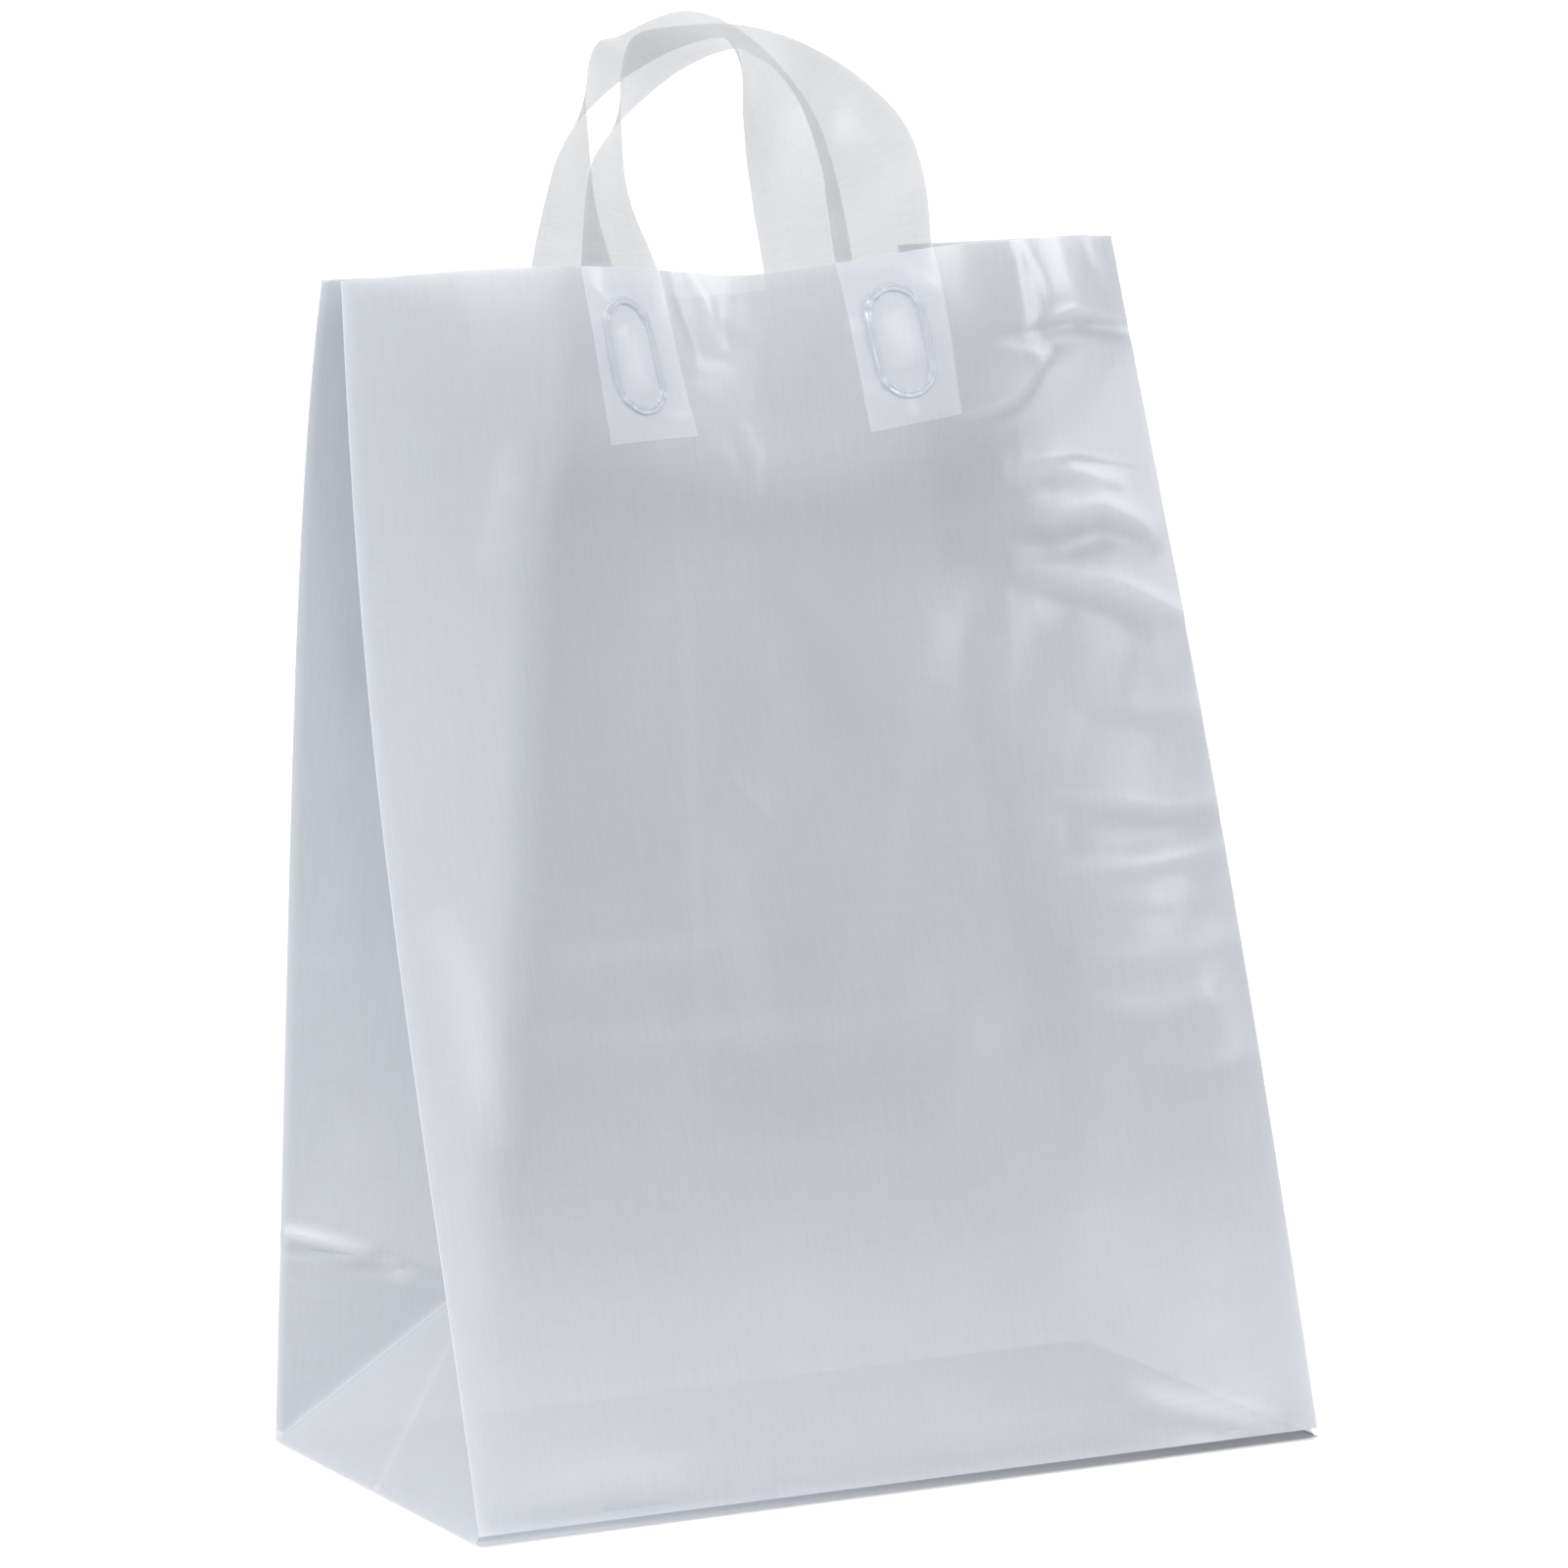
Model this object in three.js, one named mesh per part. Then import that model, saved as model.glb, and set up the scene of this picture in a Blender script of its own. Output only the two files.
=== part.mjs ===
// A soft loop handle carrier bag: one gusseted tube of film, folded flat across its base and
// standing open, with a strip of the same film welded inside each panel as a loop.
// Millimetres, +Z up. The origin is the middle of the base on the floor, +X runs along the
// bag's width and the front panel faces -Y.

import * as THREE from 'three';

// Driving sizes of the bag
const bagWidth = 330;          // front panel, edge crease to edge crease
const bagDepth = 168;          // both halves of a side gusset, opened out at the base
const film = 0.1;              // thickness of the film

// How the open bag stands: its mouth leans back over the base and stays nearly shut
const mouthGap = 16;           // between the panels at each side edge of the mouth
const leftCorner = { inset: 13, lean: 56, height: 414.5 };
const rightCorner = { inset: 3, lean: 72, height: 415.5 };
const leftBow = 0.12;          // share of its lean that the front's left edge bows back
const rightBow = -0.045;       // and its right edge, which bows forward
const rearStraight = 0.2;      // share of the rear edges' lean that is even over the height

// Loop handles
const stripWidth = 38;
const legSpacing = 105;        // middle to middle of a loop's two legs, across the panel
const flapLength = 62;         // strip below the mouth, inside the panel
const weldGap = 0.5;           // clear between a panel and the strip welded to it

// Oval weld beads, pressed out of the panels where a strip is welded on
const beadHeight = 40;
const beadWidth = 21;
const beadBand = 3.4;          // width of the melted band
const beadRise = 0.8;          // out of the panel
const beadDrop = 34;           // middle of the bead below the mouth

// Transverse seal across the base, pinched up inside the bag
const sealOffset = -12;        // from the middle of the base, so the front is the longer panel
const sealWidth = 4;
const sealRise = 1.5;

// Steps of the mesh
const gussetSteps = 4;         // across each half of a gusset
const outerSteps = 5;          // across a panel, from an edge crease to a flap
const acrossSteps = 4;         // across a flap
const middleSteps = 4;         // across the panel between its two flaps
const wallSteps = 10;          // up the bag, between the folded foot and the flaps
const flapSteps = 4;
const loopSteps = 30;
const beadSteps = 18;

const gusset = bagDepth / 2;   // each half of a gusset, from edge crease to centre crease
const tubeLength = Math.hypot(leftCorner.height, leftCorner.lean + (bagDepth - mouthGap) / 2);

const mix = THREE.MathUtils.lerp;
const vec = (x, y, z) => new THREE.Vector3(x, y, z);

// Share of the panel's width at a film distance from its middle line
const across = (distance) => 0.5 + distance / bagWidth;

// One side's corner creases at a share t of the height
function frontEdge(side, t) {
  const corner = side < 0 ? leftCorner : rightCorner;
  const bow = side < 0 ? leftBow * Math.sin(Math.PI * t ** 1.3) : rightBow * Math.sin(Math.PI * t);
  return vec(
    side * (bagWidth / 2 - corner.inset * t),
    mix(-bagDepth / 2, corner.lean - mouthGap / 2, t + bow),
    corner.height * t,
  );
}

function rearEdge(side, t) {
  const corner = side < 0 ? leftCorner : rightCorner;
  const lean = rearStraight * t + (1 - rearStraight) * t ** 6;
  return vec(
    side * (bagWidth / 2 - corner.inset * t),
    mix(bagDepth / 2, corner.lean + mouthGap / 2, lean),
    (corner.height - 1) * t,
  );
}

// Centre crease of a gusset: each half keeps its width, so the crease is pushed inward as
// the two edges close up
function centreCrease(side, t) {
  const front = frontEdge(side, t);
  const rear = rearEdge(side, t);
  const middle = front.clone().add(rear).multiplyScalar(0.5);
  const halfGap = front.distanceTo(rear) / 2;
  middle.x -= side * Math.sqrt(Math.max(0, gusset ** 2 - halfGap ** 2));
  return middle;
}

// The foot of a gusset folds along two creases at 45 degrees, from the base corners to a
// point on the centre crease. The point is as far from the base as half the base's depth.
function footShare(side) {
  const reach = (t) => centreCrease(side, t).distanceTo(vec((side * bagWidth) / 2, 0, 0));
  let low = 0;
  let high = 1;
  for (let i = 0; i < 40; i += 1) {
    const t = (low + high) / 2;
    if (reach(t) < gusset) low = t; else high = t;
  }
  return low;
}

// Both gussets fold at the same rows, so their feet share one height
const footTop = (footShare(-1) + footShare(1)) / 2;
const flapBottom = 1 - flapLength / tubeLength;

// The mouth of each panel, as film set off from the straight line between its corners.
// It's pressed in between the legs of its loop, stands out at the legs and sags.
const mouthEase = 47;          // beyond a leg, to where the mouth has come halfway back
const flapIn = legSpacing / 2 - stripWidth / 2;
const flapOut = legSpacing / 2 + stripWidth / 2;
const frontMouth = [
  { u: 0, off: [0, 0, 0] },
  { u: across(-flapOut - mouthEase), off: [-2, -8, 2] },
  { u: across(-flapOut), off: [-7, -25, 3] },
  { u: across(-flapIn), off: [-8, -16, -1] },
  { u: 0.5, off: [-4, -12, -5] },
  { u: across(flapIn), off: [-1, -18, -2] },
  { u: across(flapOut), off: [0, -23, 2] },
  { u: across(flapOut + mouthEase), off: [0, -13, 2] },
  { u: 1, off: [0, 0, 0] },
];
const rearMouth = [
  { u: 0, off: [0, 0, 0] },
  { u: across(-flapOut - mouthEase), off: [-3, 1, -2] },
  { u: across(-flapOut), off: [-6, 3, -5] },
  { u: across(-flapIn), off: [-4, 8, -11] },
  { u: 0.5, off: [-5, 11, -15] },
  { u: across(flapIn), off: [-6, 10, -14] },
  { u: across(flapOut), off: [-6, 8, -10] },
  { u: across(flapOut + mouthEase), off: [-3, 4, -5] },
  { u: 1, off: [0, 0, 0] },
];

function mouthOffset(stations, u) {
  const last = stations.length - 1;
  let k = 0;
  while (k < last - 1 && u > stations[k + 1].u) k += 1;
  const curve = new THREE.CatmullRomCurve3(stations.map((s) => vec(...s.off)));
  const local = (u - stations[k].u) / (stations[k + 1].u - stations[k].u);
  return curve.getPoint((k + THREE.MathUtils.clamp(local, 0, 1)) / last);
}

// A panel stretched between its two edges, taking the mouth's shape over its upper part
const mouthReach = 0.32;       // share of the height over which the mouth's shape fades out
const belly = 5;               // how far each panel swells at mid height

function panelPoint(edge, stations, swell, u, t) {
  const point = edge(-1, t).lerp(edge(1, t), u);
  const fade = THREE.MathUtils.smoothstep(t, 1 - mouthReach, 1) ** 1.3;
  point.addScaledVector(mouthOffset(stations, u), fade);
  point.y += swell * Math.sin(Math.PI * u) * Math.sin(Math.PI * t);
  return point;
}

const frontPanel = (u, t) => panelPoint(frontEdge, frontMouth, -belly, u, t);
const rearPanel = (u, t) => panelPoint(rearEdge, rearMouth, belly, u, t);

// Half a gusset from its edge crease (v = 0) to its centre crease (v = 1). Rows of the foot
// fold at v = row, on the 45 degree crease; below it the film lies in the foot's triangle.
function gussetPoint(side, edge, v, t) {
  if (t >= footTop) return edge(side, t).lerp(centreCrease(side, t), v);
  const row = t / footTop;
  const corner = edge(side, 0);
  const tip = centreCrease(side, footTop);
  const fold = corner.clone().lerp(tip, row);
  if (v <= row) return edge(side, t).lerp(fold, row === 0 ? 0 : v / row);
  const middle = vec((side * bagWidth) / 2, 0, 0).lerp(tip, row);
  return fold.lerp(middle, (v - row) / (1 - row));
}

// Shares of the panel's width and of the height at which the film's mesh has its lines
function spread(stops, counts) {
  const out = [stops[0]];
  counts.forEach((count, i) => {
    for (let k = 1; k <= count; k += 1) out.push(mix(stops[i], stops[i + 1], k / count));
  });
  return out;
}

const panelLines = spread(
  [0, across(-flapOut), across(-flapIn), across(flapIn), across(flapOut), 1],
  [outerSteps, acrossSteps, middleSteps, acrossSteps, outerSteps],
);
const heightLines = spread([0, footTop, flapBottom, 1], [gussetSteps, wallSteps, flapSteps]);
const gussetLines = spread([0, 1], [gussetSteps]);

// Where the flaps begin among those lines
const flapRow = gussetSteps + wallSteps;
const leftFlap = outerSteps;
const rightFlap = leftFlap + acrossSteps + middleSteps;

// One turn around the tube at height t, from the left front edge by way of the right side
function ring(t) {
  const forward = [...gussetLines].slice(1);
  const back = [...gussetLines].reverse().slice(1);
  return [
    ...panelLines.map((u) => frontPanel(u, t)),
    ...forward.map((v) => gussetPoint(1, frontEdge, v, t)),
    ...back.map((v) => gussetPoint(1, rearEdge, v, t)),
    ...[...panelLines].reverse().slice(1).map((u) => rearPanel(u, t)),
    ...forward.map((v) => gussetPoint(-1, rearEdge, v, t)),
    ...back.slice(0, -1).map((v) => gussetPoint(-1, frontEdge, v, t)),
  ];
}

// Thickens a sheet of film into a closed solid. points lie on the sheet's outer face and
// triangles face out. Open edges are closed by the film's own thickness.
function thicken(points, triangles) {
  const normals = points.map(() => []);
  const edges = new Map();
  for (const [a, b, c] of triangles) {
    const ab = points[b].clone().sub(points[a]);
    const normal = ab.cross(points[c].clone().sub(points[a])).normalize();
    for (const i of [a, b, c]) normals[i].push(normal);
    for (const [i, j] of [[a, b], [b, c], [c, a]]) edges.set(`${i},${j}`, [i, j]);
  }
  const used = points.map((_, i) => i).filter((i) => normals[i].length > 0);
  const place = new Map(used.map((i, k) => [i, k]));
  const position = used.flatMap((i) => points[i].toArray());
  for (const i of used) {
    // Each face keeps its full thickness at a fold, so the step inward is longer there
    const sum = normals[i].reduce((total, face) => total.add(face), vec(0, 0, 0)).normalize();
    const lean = normals[i].reduce((total, face) => total + face.dot(sum), 0) / normals[i].length;
    position.push(...points[i].clone().addScaledVector(sum, -film / Math.max(lean, 0.5)).toArray());
  }
  const count = used.length;
  const index = [];
  for (const triangle of triangles) {
    const [a, b, c] = triangle.map((i) => place.get(i));
    index.push(a, b, c, count + a, count + c, count + b);
  }
  for (const [i, j] of edges.values()) {
    if (edges.has(`${j},${i}`)) continue;
    const [a, b] = [place.get(i), place.get(j)];
    index.push(b, a, count + a, b, count + a, count + b);
  }
  const geometry = new THREE.BufferGeometry();
  geometry.setAttribute('position', new THREE.Float32BufferAttribute(position, 3));
  geometry.setIndex(index);
  return geometry;
}

// Two triangles for a cell, split along the diagonal from its first corner or the other
function cell(a, b, c, d, flip) {
  return flip ? [[a, b, d], [b, c, d]] : [[a, b, c], [a, c, d]];
}

// A point on the panel's own facets, where the mesh is straight between its lines
function onFacets(panel, u, t) {
  const find = (lines, value) => {
    let k = 0;
    while (k < lines.length - 2 && value > lines[k + 1]) k += 1;
    return [k, (value - lines[k]) / (lines[k + 1] - lines[k])];
  };
  const [i, a] = find(panelLines, u);
  const [j, b] = find(heightLines, t);
  const corner = (p, q) => panel(panelLines[i + p], heightLines[j + q]);
  const low = corner(0, 0).lerp(corner(1, 0), a);
  return low.lerp(corner(0, 1).lerp(corner(1, 1), a), b);
}

// Which way a panel faces at a point; sign is 1 on the front panel and -1 on the rear one
function facing(panel, sign, u, t) {
  const step = 1e-3;
  const alongU = panel(u + step, t).sub(panel(u - step, t));
  const alongT = panel(u, Math.min(t + step, 1)).sub(panel(u, t - step));
  return alongU.cross(alongT).normalize().multiplyScalar(sign);
}

// The film around one oval bead. frame lists the points around the patch, at their film
// millimetres across and up; the bead's ovals are new points. crest is how far the middle of
// the band stands out of the panel and level how far the rest does. sense is 1 where the
// patch's faces turn the same way as its film millimetres.
function beadPatch(points, frame, { panel, sign, centre, crest, level, sense }) {
  const straight = (beadHeight - beadWidth) / 2;
  const ovals = [[0, level], [beadBand / 2, crest], [beadBand, level]].map(([inset, rise]) => {
    const radius = beadWidth / 2 - inset;
    return Array.from({ length: beadSteps }, (_, k) => {
      const angle = (2 * Math.PI * (k + 0.5)) / beadSteps;
      const x = centre + radius * Math.cos(angle);
      const y = radius * Math.sin(angle) + Math.sign(Math.sin(angle)) * straight - beadDrop;
      const u = across(x);
      const t = 1 + y / tubeLength;
      points.push(onFacets(panel, u, t).addScaledVector(facing(panel, sign, u, t), rise));
      return { i: points.length - 1, at: new THREE.Vector2(x, y) };
    });
  });
  const triangles = [];
  const fill = (contour, holes) => {
    const all = [contour, ...holes].flat();
    const faces = THREE.ShapeUtils.triangulateShape(
      contour.map((p) => p.at), holes.map((hole) => hole.map((p) => p.at)));
    for (const face of faces) {
      const [a, b, c] = face.map((k) => all[k]);
      const turn = b.at.clone().sub(a.at).cross(c.at.clone().sub(a.at)) * sense;
      triangles.push(turn > 0 ? [a.i, b.i, c.i] : [a.i, c.i, b.i]);
    }
  };
  fill(frame, [ovals[0]]);
  for (let ring = 0; ring < ovals.length - 1; ring += 1) {
    for (let k = 0; k < beadSteps; k += 1) {
      const next = (k + 1) % beadSteps;
      const [a, b, c, d] = [ovals[ring][k], ovals[ring][next], ovals[ring + 1][next],
        ovals[ring + 1][k]].map((p) => p.i);
      triangles.push(...(sense > 0 ? [[a, b, c], [a, c, d]] : [[a, c, b], [a, d, c]]));
    }
  }
  fill(ovals[ovals.length - 1], []);
  return triangles;
}

// The points around a patch of a mesh's rows, in order from its lower left corner
function patchFrame(low, top, first, last, indexOf) {
  const filmAt = (row, line) => new THREE.Vector2(
    (panelLines[line] - 0.5) * bagWidth, (heightLines[row] - 1) * tubeLength);
  const corners = [[low, first], [low, last], [top, last], [top, first]];
  return corners.flatMap(([row, line], k) => {
    const [endRow, endLine] = corners[(k + 1) % 4];
    const count = Math.abs(endRow - row) + Math.abs(endLine - line);
    return Array.from({ length: count }, (_, j) => {
      const r = row + Math.sign(endRow - row) * j;
      const l = line + Math.sign(endLine - line) * j;
      return { i: indexOf(r, l), at: filmAt(r, l) };
    });
  });
}

// The folded film tube with its base and its beads
function bagFilm() {
  const rings = heightLines.map(ring);
  const around = rings[0].length;
  const points = rings.flat();
  const triangles = [];
  const panelCount = panelLines.length - 1;
  const sideCount = 2 * gussetSteps;
  const at = (row, col) => row * around + col;

  // The four patches that carry a bead, by their first line across the panel
  const frontCol = (line) => line;
  const rearCol = (line) => 2 * panelCount + sideCount - line;
  const patches = [];
  for (const [panel, sign, colOf] of [[frontPanel, 1, frontCol], [rearPanel, -1, rearCol]]) {
    patches.push({ panel, sign, colOf, first: leftFlap, centre: -legSpacing / 2 });
    patches.push({ panel, sign, colOf, first: rightFlap, centre: legSpacing / 2 });
  }
  const inPatch = (row, col) => row >= flapRow && patches.some(({ colOf, first }) => {
    const ends = [colOf(first), colOf(first + acrossSteps)].sort((p, q) => p - q);
    return col >= ends[0] && col < ends[1];
  });

  for (let row = 0; row < rings.length - 1; row += 1) {
    for (let col = 0; col < around; col += 1) {
      if (inPatch(row, col)) continue;
      const next = (col + 1) % around;
      // In a foot, cells split along the 45 degree creases, which rise toward the middle
      const rightFront = col >= panelCount && col < panelCount + gussetSteps;
      const leftRear = col >= 2 * panelCount + sideCount && col < around - gussetSteps;
      triangles.push(...cell(at(row, col), at(row, next), at(row + 1, next), at(row + 1, col),
        !(rightFront || leftRear)));
    }
  }

  for (const { panel, sign, colOf, first, centre } of patches) {
    const frame = patchFrame(flapRow, rings.length - 1, first, first + acrossSteps,
      (row, line) => at(row, colOf(line)));
    triangles.push(...beadPatch(points, frame,
      { panel, sign, centre, crest: beadRise, level: 0, sense: sign }));
  }

  // Base: a row of points across the depth at each line of the front panel. The middle three
  // points of a row carry the seal.
  const depths = [-bagDepth / 2, sealOffset - sealWidth / 2, sealOffset,
    sealOffset + sealWidth / 2, bagDepth / 2];
  const rows = spread(depths, [gussetSteps - 1, 1, 1, gussetSteps - 1]);
  const onBase = panelLines.map((u, i) => rows.map((y, k) => {
    if (k === 0) return frontCol(i);
    if (k === sideCount) return rearCol(i);
    if (i === 0) return around - k;
    if (i === panelCount) return panelCount + k;
    const rise = k === gussetSteps ? sealRise : 0;
    points.push(vec((u - 0.5) * bagWidth, y, rise));
    return points.length - 1;
  }));
  for (let i = 0; i < panelCount; i += 1) {
    for (let k = 0; k < sideCount; k += 1) {
      triangles.push(...cell(onBase[i][k], onBase[i][k + 1], onBase[i + 1][k + 1],
        onBase[i + 1][k], false));
    }
  }
  return thicken(points, triangles);
}

// The strip inside a panel keeps the panel's own facets, set in by the film and the gap
function flapRows(panel, sign, centre) {
  const half = stripWidth / 2;
  const lines = spread([across(centre - half), across(centre + half)], [acrossSteps]);
  const rows = spread([flapBottom, 1], [flapSteps]);
  return rows.map((t) => lines.map(
    (u) => panel(u, t).addScaledVector(facing(panel, sign, u, t), -(weldGap + film))));
}

// A loop's route between its legs. along goes from the left leg (0) to the right one (1),
// back and up are set off from the line between the legs' tops. The strip's width points
// from its near edge to its far edge: turn is from +X toward +Y, tilt is upward.
const frontRoute = [
  { along: -0.02, back: 2, up: 30, turn: 46, tilt: -16 },
  { along: 0.0, back: 2, up: 47, turn: 62, tilt: -14 },
  { along: 0.04, back: -1, up: 62, turn: 82, tilt: -5 },
  { along: 0.11, back: -6, up: 74, turn: 94, tilt: 4 },
  { along: 0.24, back: -15, up: 80, turn: 92, tilt: 9 },
  { along: 0.4, back: -12, up: 78, turn: 84, tilt: 16 },
  { along: 0.6, back: 2, up: 72, turn: 68, tilt: 21 },
  { along: 0.77, back: 13, up: 64, turn: 50, tilt: 22 },
  { along: 0.89, back: 16, up: 54, turn: 30, tilt: 21 },
  { along: 0.975, back: 11, up: 38, turn: 4, tilt: 22 },
  { along: 1.0, back: 6, up: 20, turn: -12, tilt: 19 },
];
const rearRoute = [
  { along: 0.03, back: 1, up: 31, turn: 40, tilt: -14 },
  { along: 0.07, back: 1, up: 47, turn: 57, tilt: -15 },
  { along: 0.08, back: -2, up: 65, turn: 76, tilt: -14 },
  { along: 0.14, back: -8, up: 79, turn: 92, tilt: -6 },
  { along: 0.27, back: -11, up: 87, turn: 98, tilt: 3 },
  { along: 0.46, back: -9, up: 92, turn: 98, tilt: 9 },
  { along: 0.6, back: -1, up: 90, turn: 86, tilt: 17 },
  { along: 0.73, back: 6, up: 82, turn: 66, tilt: 23 },
  { along: 0.84, back: 9, up: 68, turn: 40, tilt: 25 },
  { along: 0.92, back: 7, up: 49, turn: 16, tilt: 23 },
  { along: 0.96, back: 3, up: 27, turn: 6, tilt: 16 },
];

function loopRows(left, right, route) {
  const centreOf = (row) => row[0].clone().lerp(row[row.length - 1], 0.5);
  const widthOf = (row) => row[row.length - 1].clone().sub(row[0]).normalize();
  const start = left[left.length - 1];
  const end = right[right.length - 1];
  const centres = [centreOf(start)];
  const widths = [widthOf(start)];
  for (const s of route) {
    const base = centreOf(start).lerp(centreOf(end), s.along);
    centres.push(base.add(vec(0, s.back, s.up)));
    const turn = THREE.MathUtils.degToRad(s.turn);
    const tilt = THREE.MathUtils.degToRad(s.tilt);
    widths.push(vec(Math.cos(turn) * Math.cos(tilt), Math.sin(turn) * Math.cos(tilt), Math.sin(tilt)));
  }
  centres.push(centreOf(end));
  widths.push(widthOf(end));
  const path = new THREE.CatmullRomCurve3(centres, false, 'centripetal');
  const lay = new THREE.CatmullRomCurve3(widths);
  const rows = [];
  for (let k = 1; k < loopSteps; k += 1) {
    const s = k / loopSteps;
    const width = lay.getPoint(s).normalize().multiplyScalar(stripWidth / 2);
    const centre = path.getPoint(s);
    rows.push(spread([-1, 1], [acrossSteps]).map((w) => centre.clone().addScaledVector(width, w)));
  }
  return rows;
}

// A strip lies on its panel's facets at both ends, a gap inside them, and rises as a loop
function loopHandle(panel, sign, route) {
  const left = flapRows(panel, sign, -legSpacing / 2);
  const right = flapRows(panel, sign, legSpacing / 2);
  const rows = [...left, ...loopRows(left, right, route), ...right.reverse()];
  const wide = rows[0].length;
  const points = rows.flat();
  const triangles = [];
  for (let r = flapSteps; r < rows.length - 1 - flapSteps; r += 1) {
    for (let c = 0; c < wide - 1; c += 1) {
      const at = r * wide + c;
      triangles.push(...cell(at, at + 1, at + wide + 1, at + wide, false));
    }
  }
  const top = heightLines.length - 1;
  const inset = -(weldGap + film);
  for (const [first, centre, sense, rowOf] of [
    [leftFlap, -legSpacing / 2, 1, (row) => row - flapRow],
    [rightFlap, legSpacing / 2, -1, (row) => rows.length - 1 - (row - flapRow)],
  ]) {
    const frame = patchFrame(flapRow, top, first, first + acrossSteps,
      (row, line) => rowOf(row) * wide + line - first);
    triangles.push(...beadPatch(points, frame,
      { panel, sign, centre, crest: inset, level: inset, sense }));
  }
  return thicken(points, triangles);
}

const filmLook = { color: 0xdfe3ea, roughness: 0.35, metalness: 0 };
const bag = new THREE.Group();

function addPiece(name, geometry) {
  const mesh = new THREE.Mesh(geometry, new THREE.MeshStandardMaterial(filmLook));
  mesh.name = name;
  bag.add(mesh);
}

addPiece('bag_body', bagFilm());
addPiece('front_loop_handle', loopHandle(frontPanel, 1, frontRoute));
addPiece('rear_loop_handle', loopHandle(rearPanel, -1, rearRoute));

export default bag;
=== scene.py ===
"""A soft loop handle carrier bag of frosted film, standing open on a plain floor.

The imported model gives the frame. Each piece of film is made here again, finer, from the same
sizes: the folded tube with its gussets, creases and weld beads, and the two loops. Forms are
worked out in millimetres and their meshes are made in metres.
"""

import math

import bpy
import numpy as np
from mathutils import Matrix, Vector


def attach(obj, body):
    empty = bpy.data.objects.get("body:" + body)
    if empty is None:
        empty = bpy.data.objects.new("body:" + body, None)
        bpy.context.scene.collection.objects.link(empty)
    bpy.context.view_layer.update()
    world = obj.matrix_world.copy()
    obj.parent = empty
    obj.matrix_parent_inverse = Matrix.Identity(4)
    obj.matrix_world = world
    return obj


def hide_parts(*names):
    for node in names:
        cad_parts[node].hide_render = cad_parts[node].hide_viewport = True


bl_info = {
    "name": "Soft loop carrier bag",
    "version": (1, 0, 0),
    "blender": (4, 5, 0),
    "location": "View3D > Sidebar > Carrier bag",
    "description": "Makes a gusseted film carrier bag with two soft loop handles",
    "category": "Add Mesh",
}

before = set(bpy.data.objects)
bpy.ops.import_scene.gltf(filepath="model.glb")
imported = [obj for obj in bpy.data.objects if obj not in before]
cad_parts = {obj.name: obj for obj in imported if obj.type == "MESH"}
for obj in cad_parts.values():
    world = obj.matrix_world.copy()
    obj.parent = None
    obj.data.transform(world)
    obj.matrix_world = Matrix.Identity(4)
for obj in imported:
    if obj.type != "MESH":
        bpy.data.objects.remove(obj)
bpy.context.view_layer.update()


# Sizes and finishes that a user would change


def metres(name, default, description, **more):
    return bpy.props.FloatProperty(
        name=name, default=default, description=description, unit="LENGTH", **more)


def fraction(name, default, description):
    return bpy.props.FloatProperty(
        name=name, default=default, description=description, min=0.0, max=1.0,
        subtype="FACTOR")


def colour(name, default, description):
    return bpy.props.FloatVectorProperty(
        name=name, default=default, description=description, subtype="COLOR", size=3,
        min=0.0, max=1.0)


def lamp_level(name, default):
    return bpy.props.FloatProperty(
        name=name, default=default, description="How bright this lamp makes a white face",
        min=0.0)


def degrees(name, default, description):
    return bpy.props.FloatProperty(
        name=name, default=math.radians(default), description=description, subtype="ANGLE")


class BagSizes(bpy.types.PropertyGroup):
    """Sizes of the film tube and of how it stands."""

    width: metres("Width", 0.330, "Front panel, edge crease to edge crease")
    depth: metres("Depth", 0.168, "Both halves of a side gusset, opened out at the base")
    mouth_gap: metres(
        "Mouth gap", 0.016, "Between the panels at each side edge of the mouth")
    swell: metres("Swell", 0.005, "How far each panel bellies at mid height")
    crumple: metres(
        "Crumple", 0.0005, "Height of the small creases all over the film", precision=5)


class LoopSizes(bpy.types.PropertyGroup):
    """Sizes of the two loops and of the welds that hold them."""

    strip_width: metres("Strip width", 0.038, "Width of the film strip of each loop")
    leg_spacing: metres("Leg spacing", 0.105, "Middle to middle of a loop's two legs")
    flap_length: metres("Flap length", 0.062, "Strip below the mouth, inside the panel")
    flap_slant: metres(
        "Flap slant", 0.0075, "How far a flap's lower end lies to the right")
    bead_height: metres("Bead height", 0.043, "Height of an oval weld bead")
    bead_width: metres("Bead width", 0.0245, "Width of an oval weld bead")
    bead_band: metres("Bead band", 0.0034, "Width of a bead's melted band")
    bead_drop: metres("Bead drop", 0.0315, "Middle of a bead below the mouth")


class FilmFinish(bpy.types.PropertyGroup):
    """The frosted film's look."""

    tint: colour("Tint", (0.562, 0.582, 0.622), "Colour of a single sheet of the film")
    # Pale end of the tint: for the film's grain, and for painted light and painted highlights
    pale_and_painted_light_tint: colour(
        "Backed tint", (0.84, 0.86, 0.90), "Colour where more film lies close behind")
    loop_tint: colour("Loop tint", (0.50, 0.51, 0.53), "Colour of the loops' film")
    clearness: fraction(
        "Clearness", 0.12, "Share of what is behind that shows straight through")
    loop_clearness: fraction(
        "Loop clearness", 0.32, "The same share for the loops' clearer film")
    soak: fraction("Soak", 0.35, "Share of the scattered light that goes on through the film")
    roughness: fraction("Roughness", 0.34, "How matt the film's surface is")


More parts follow.
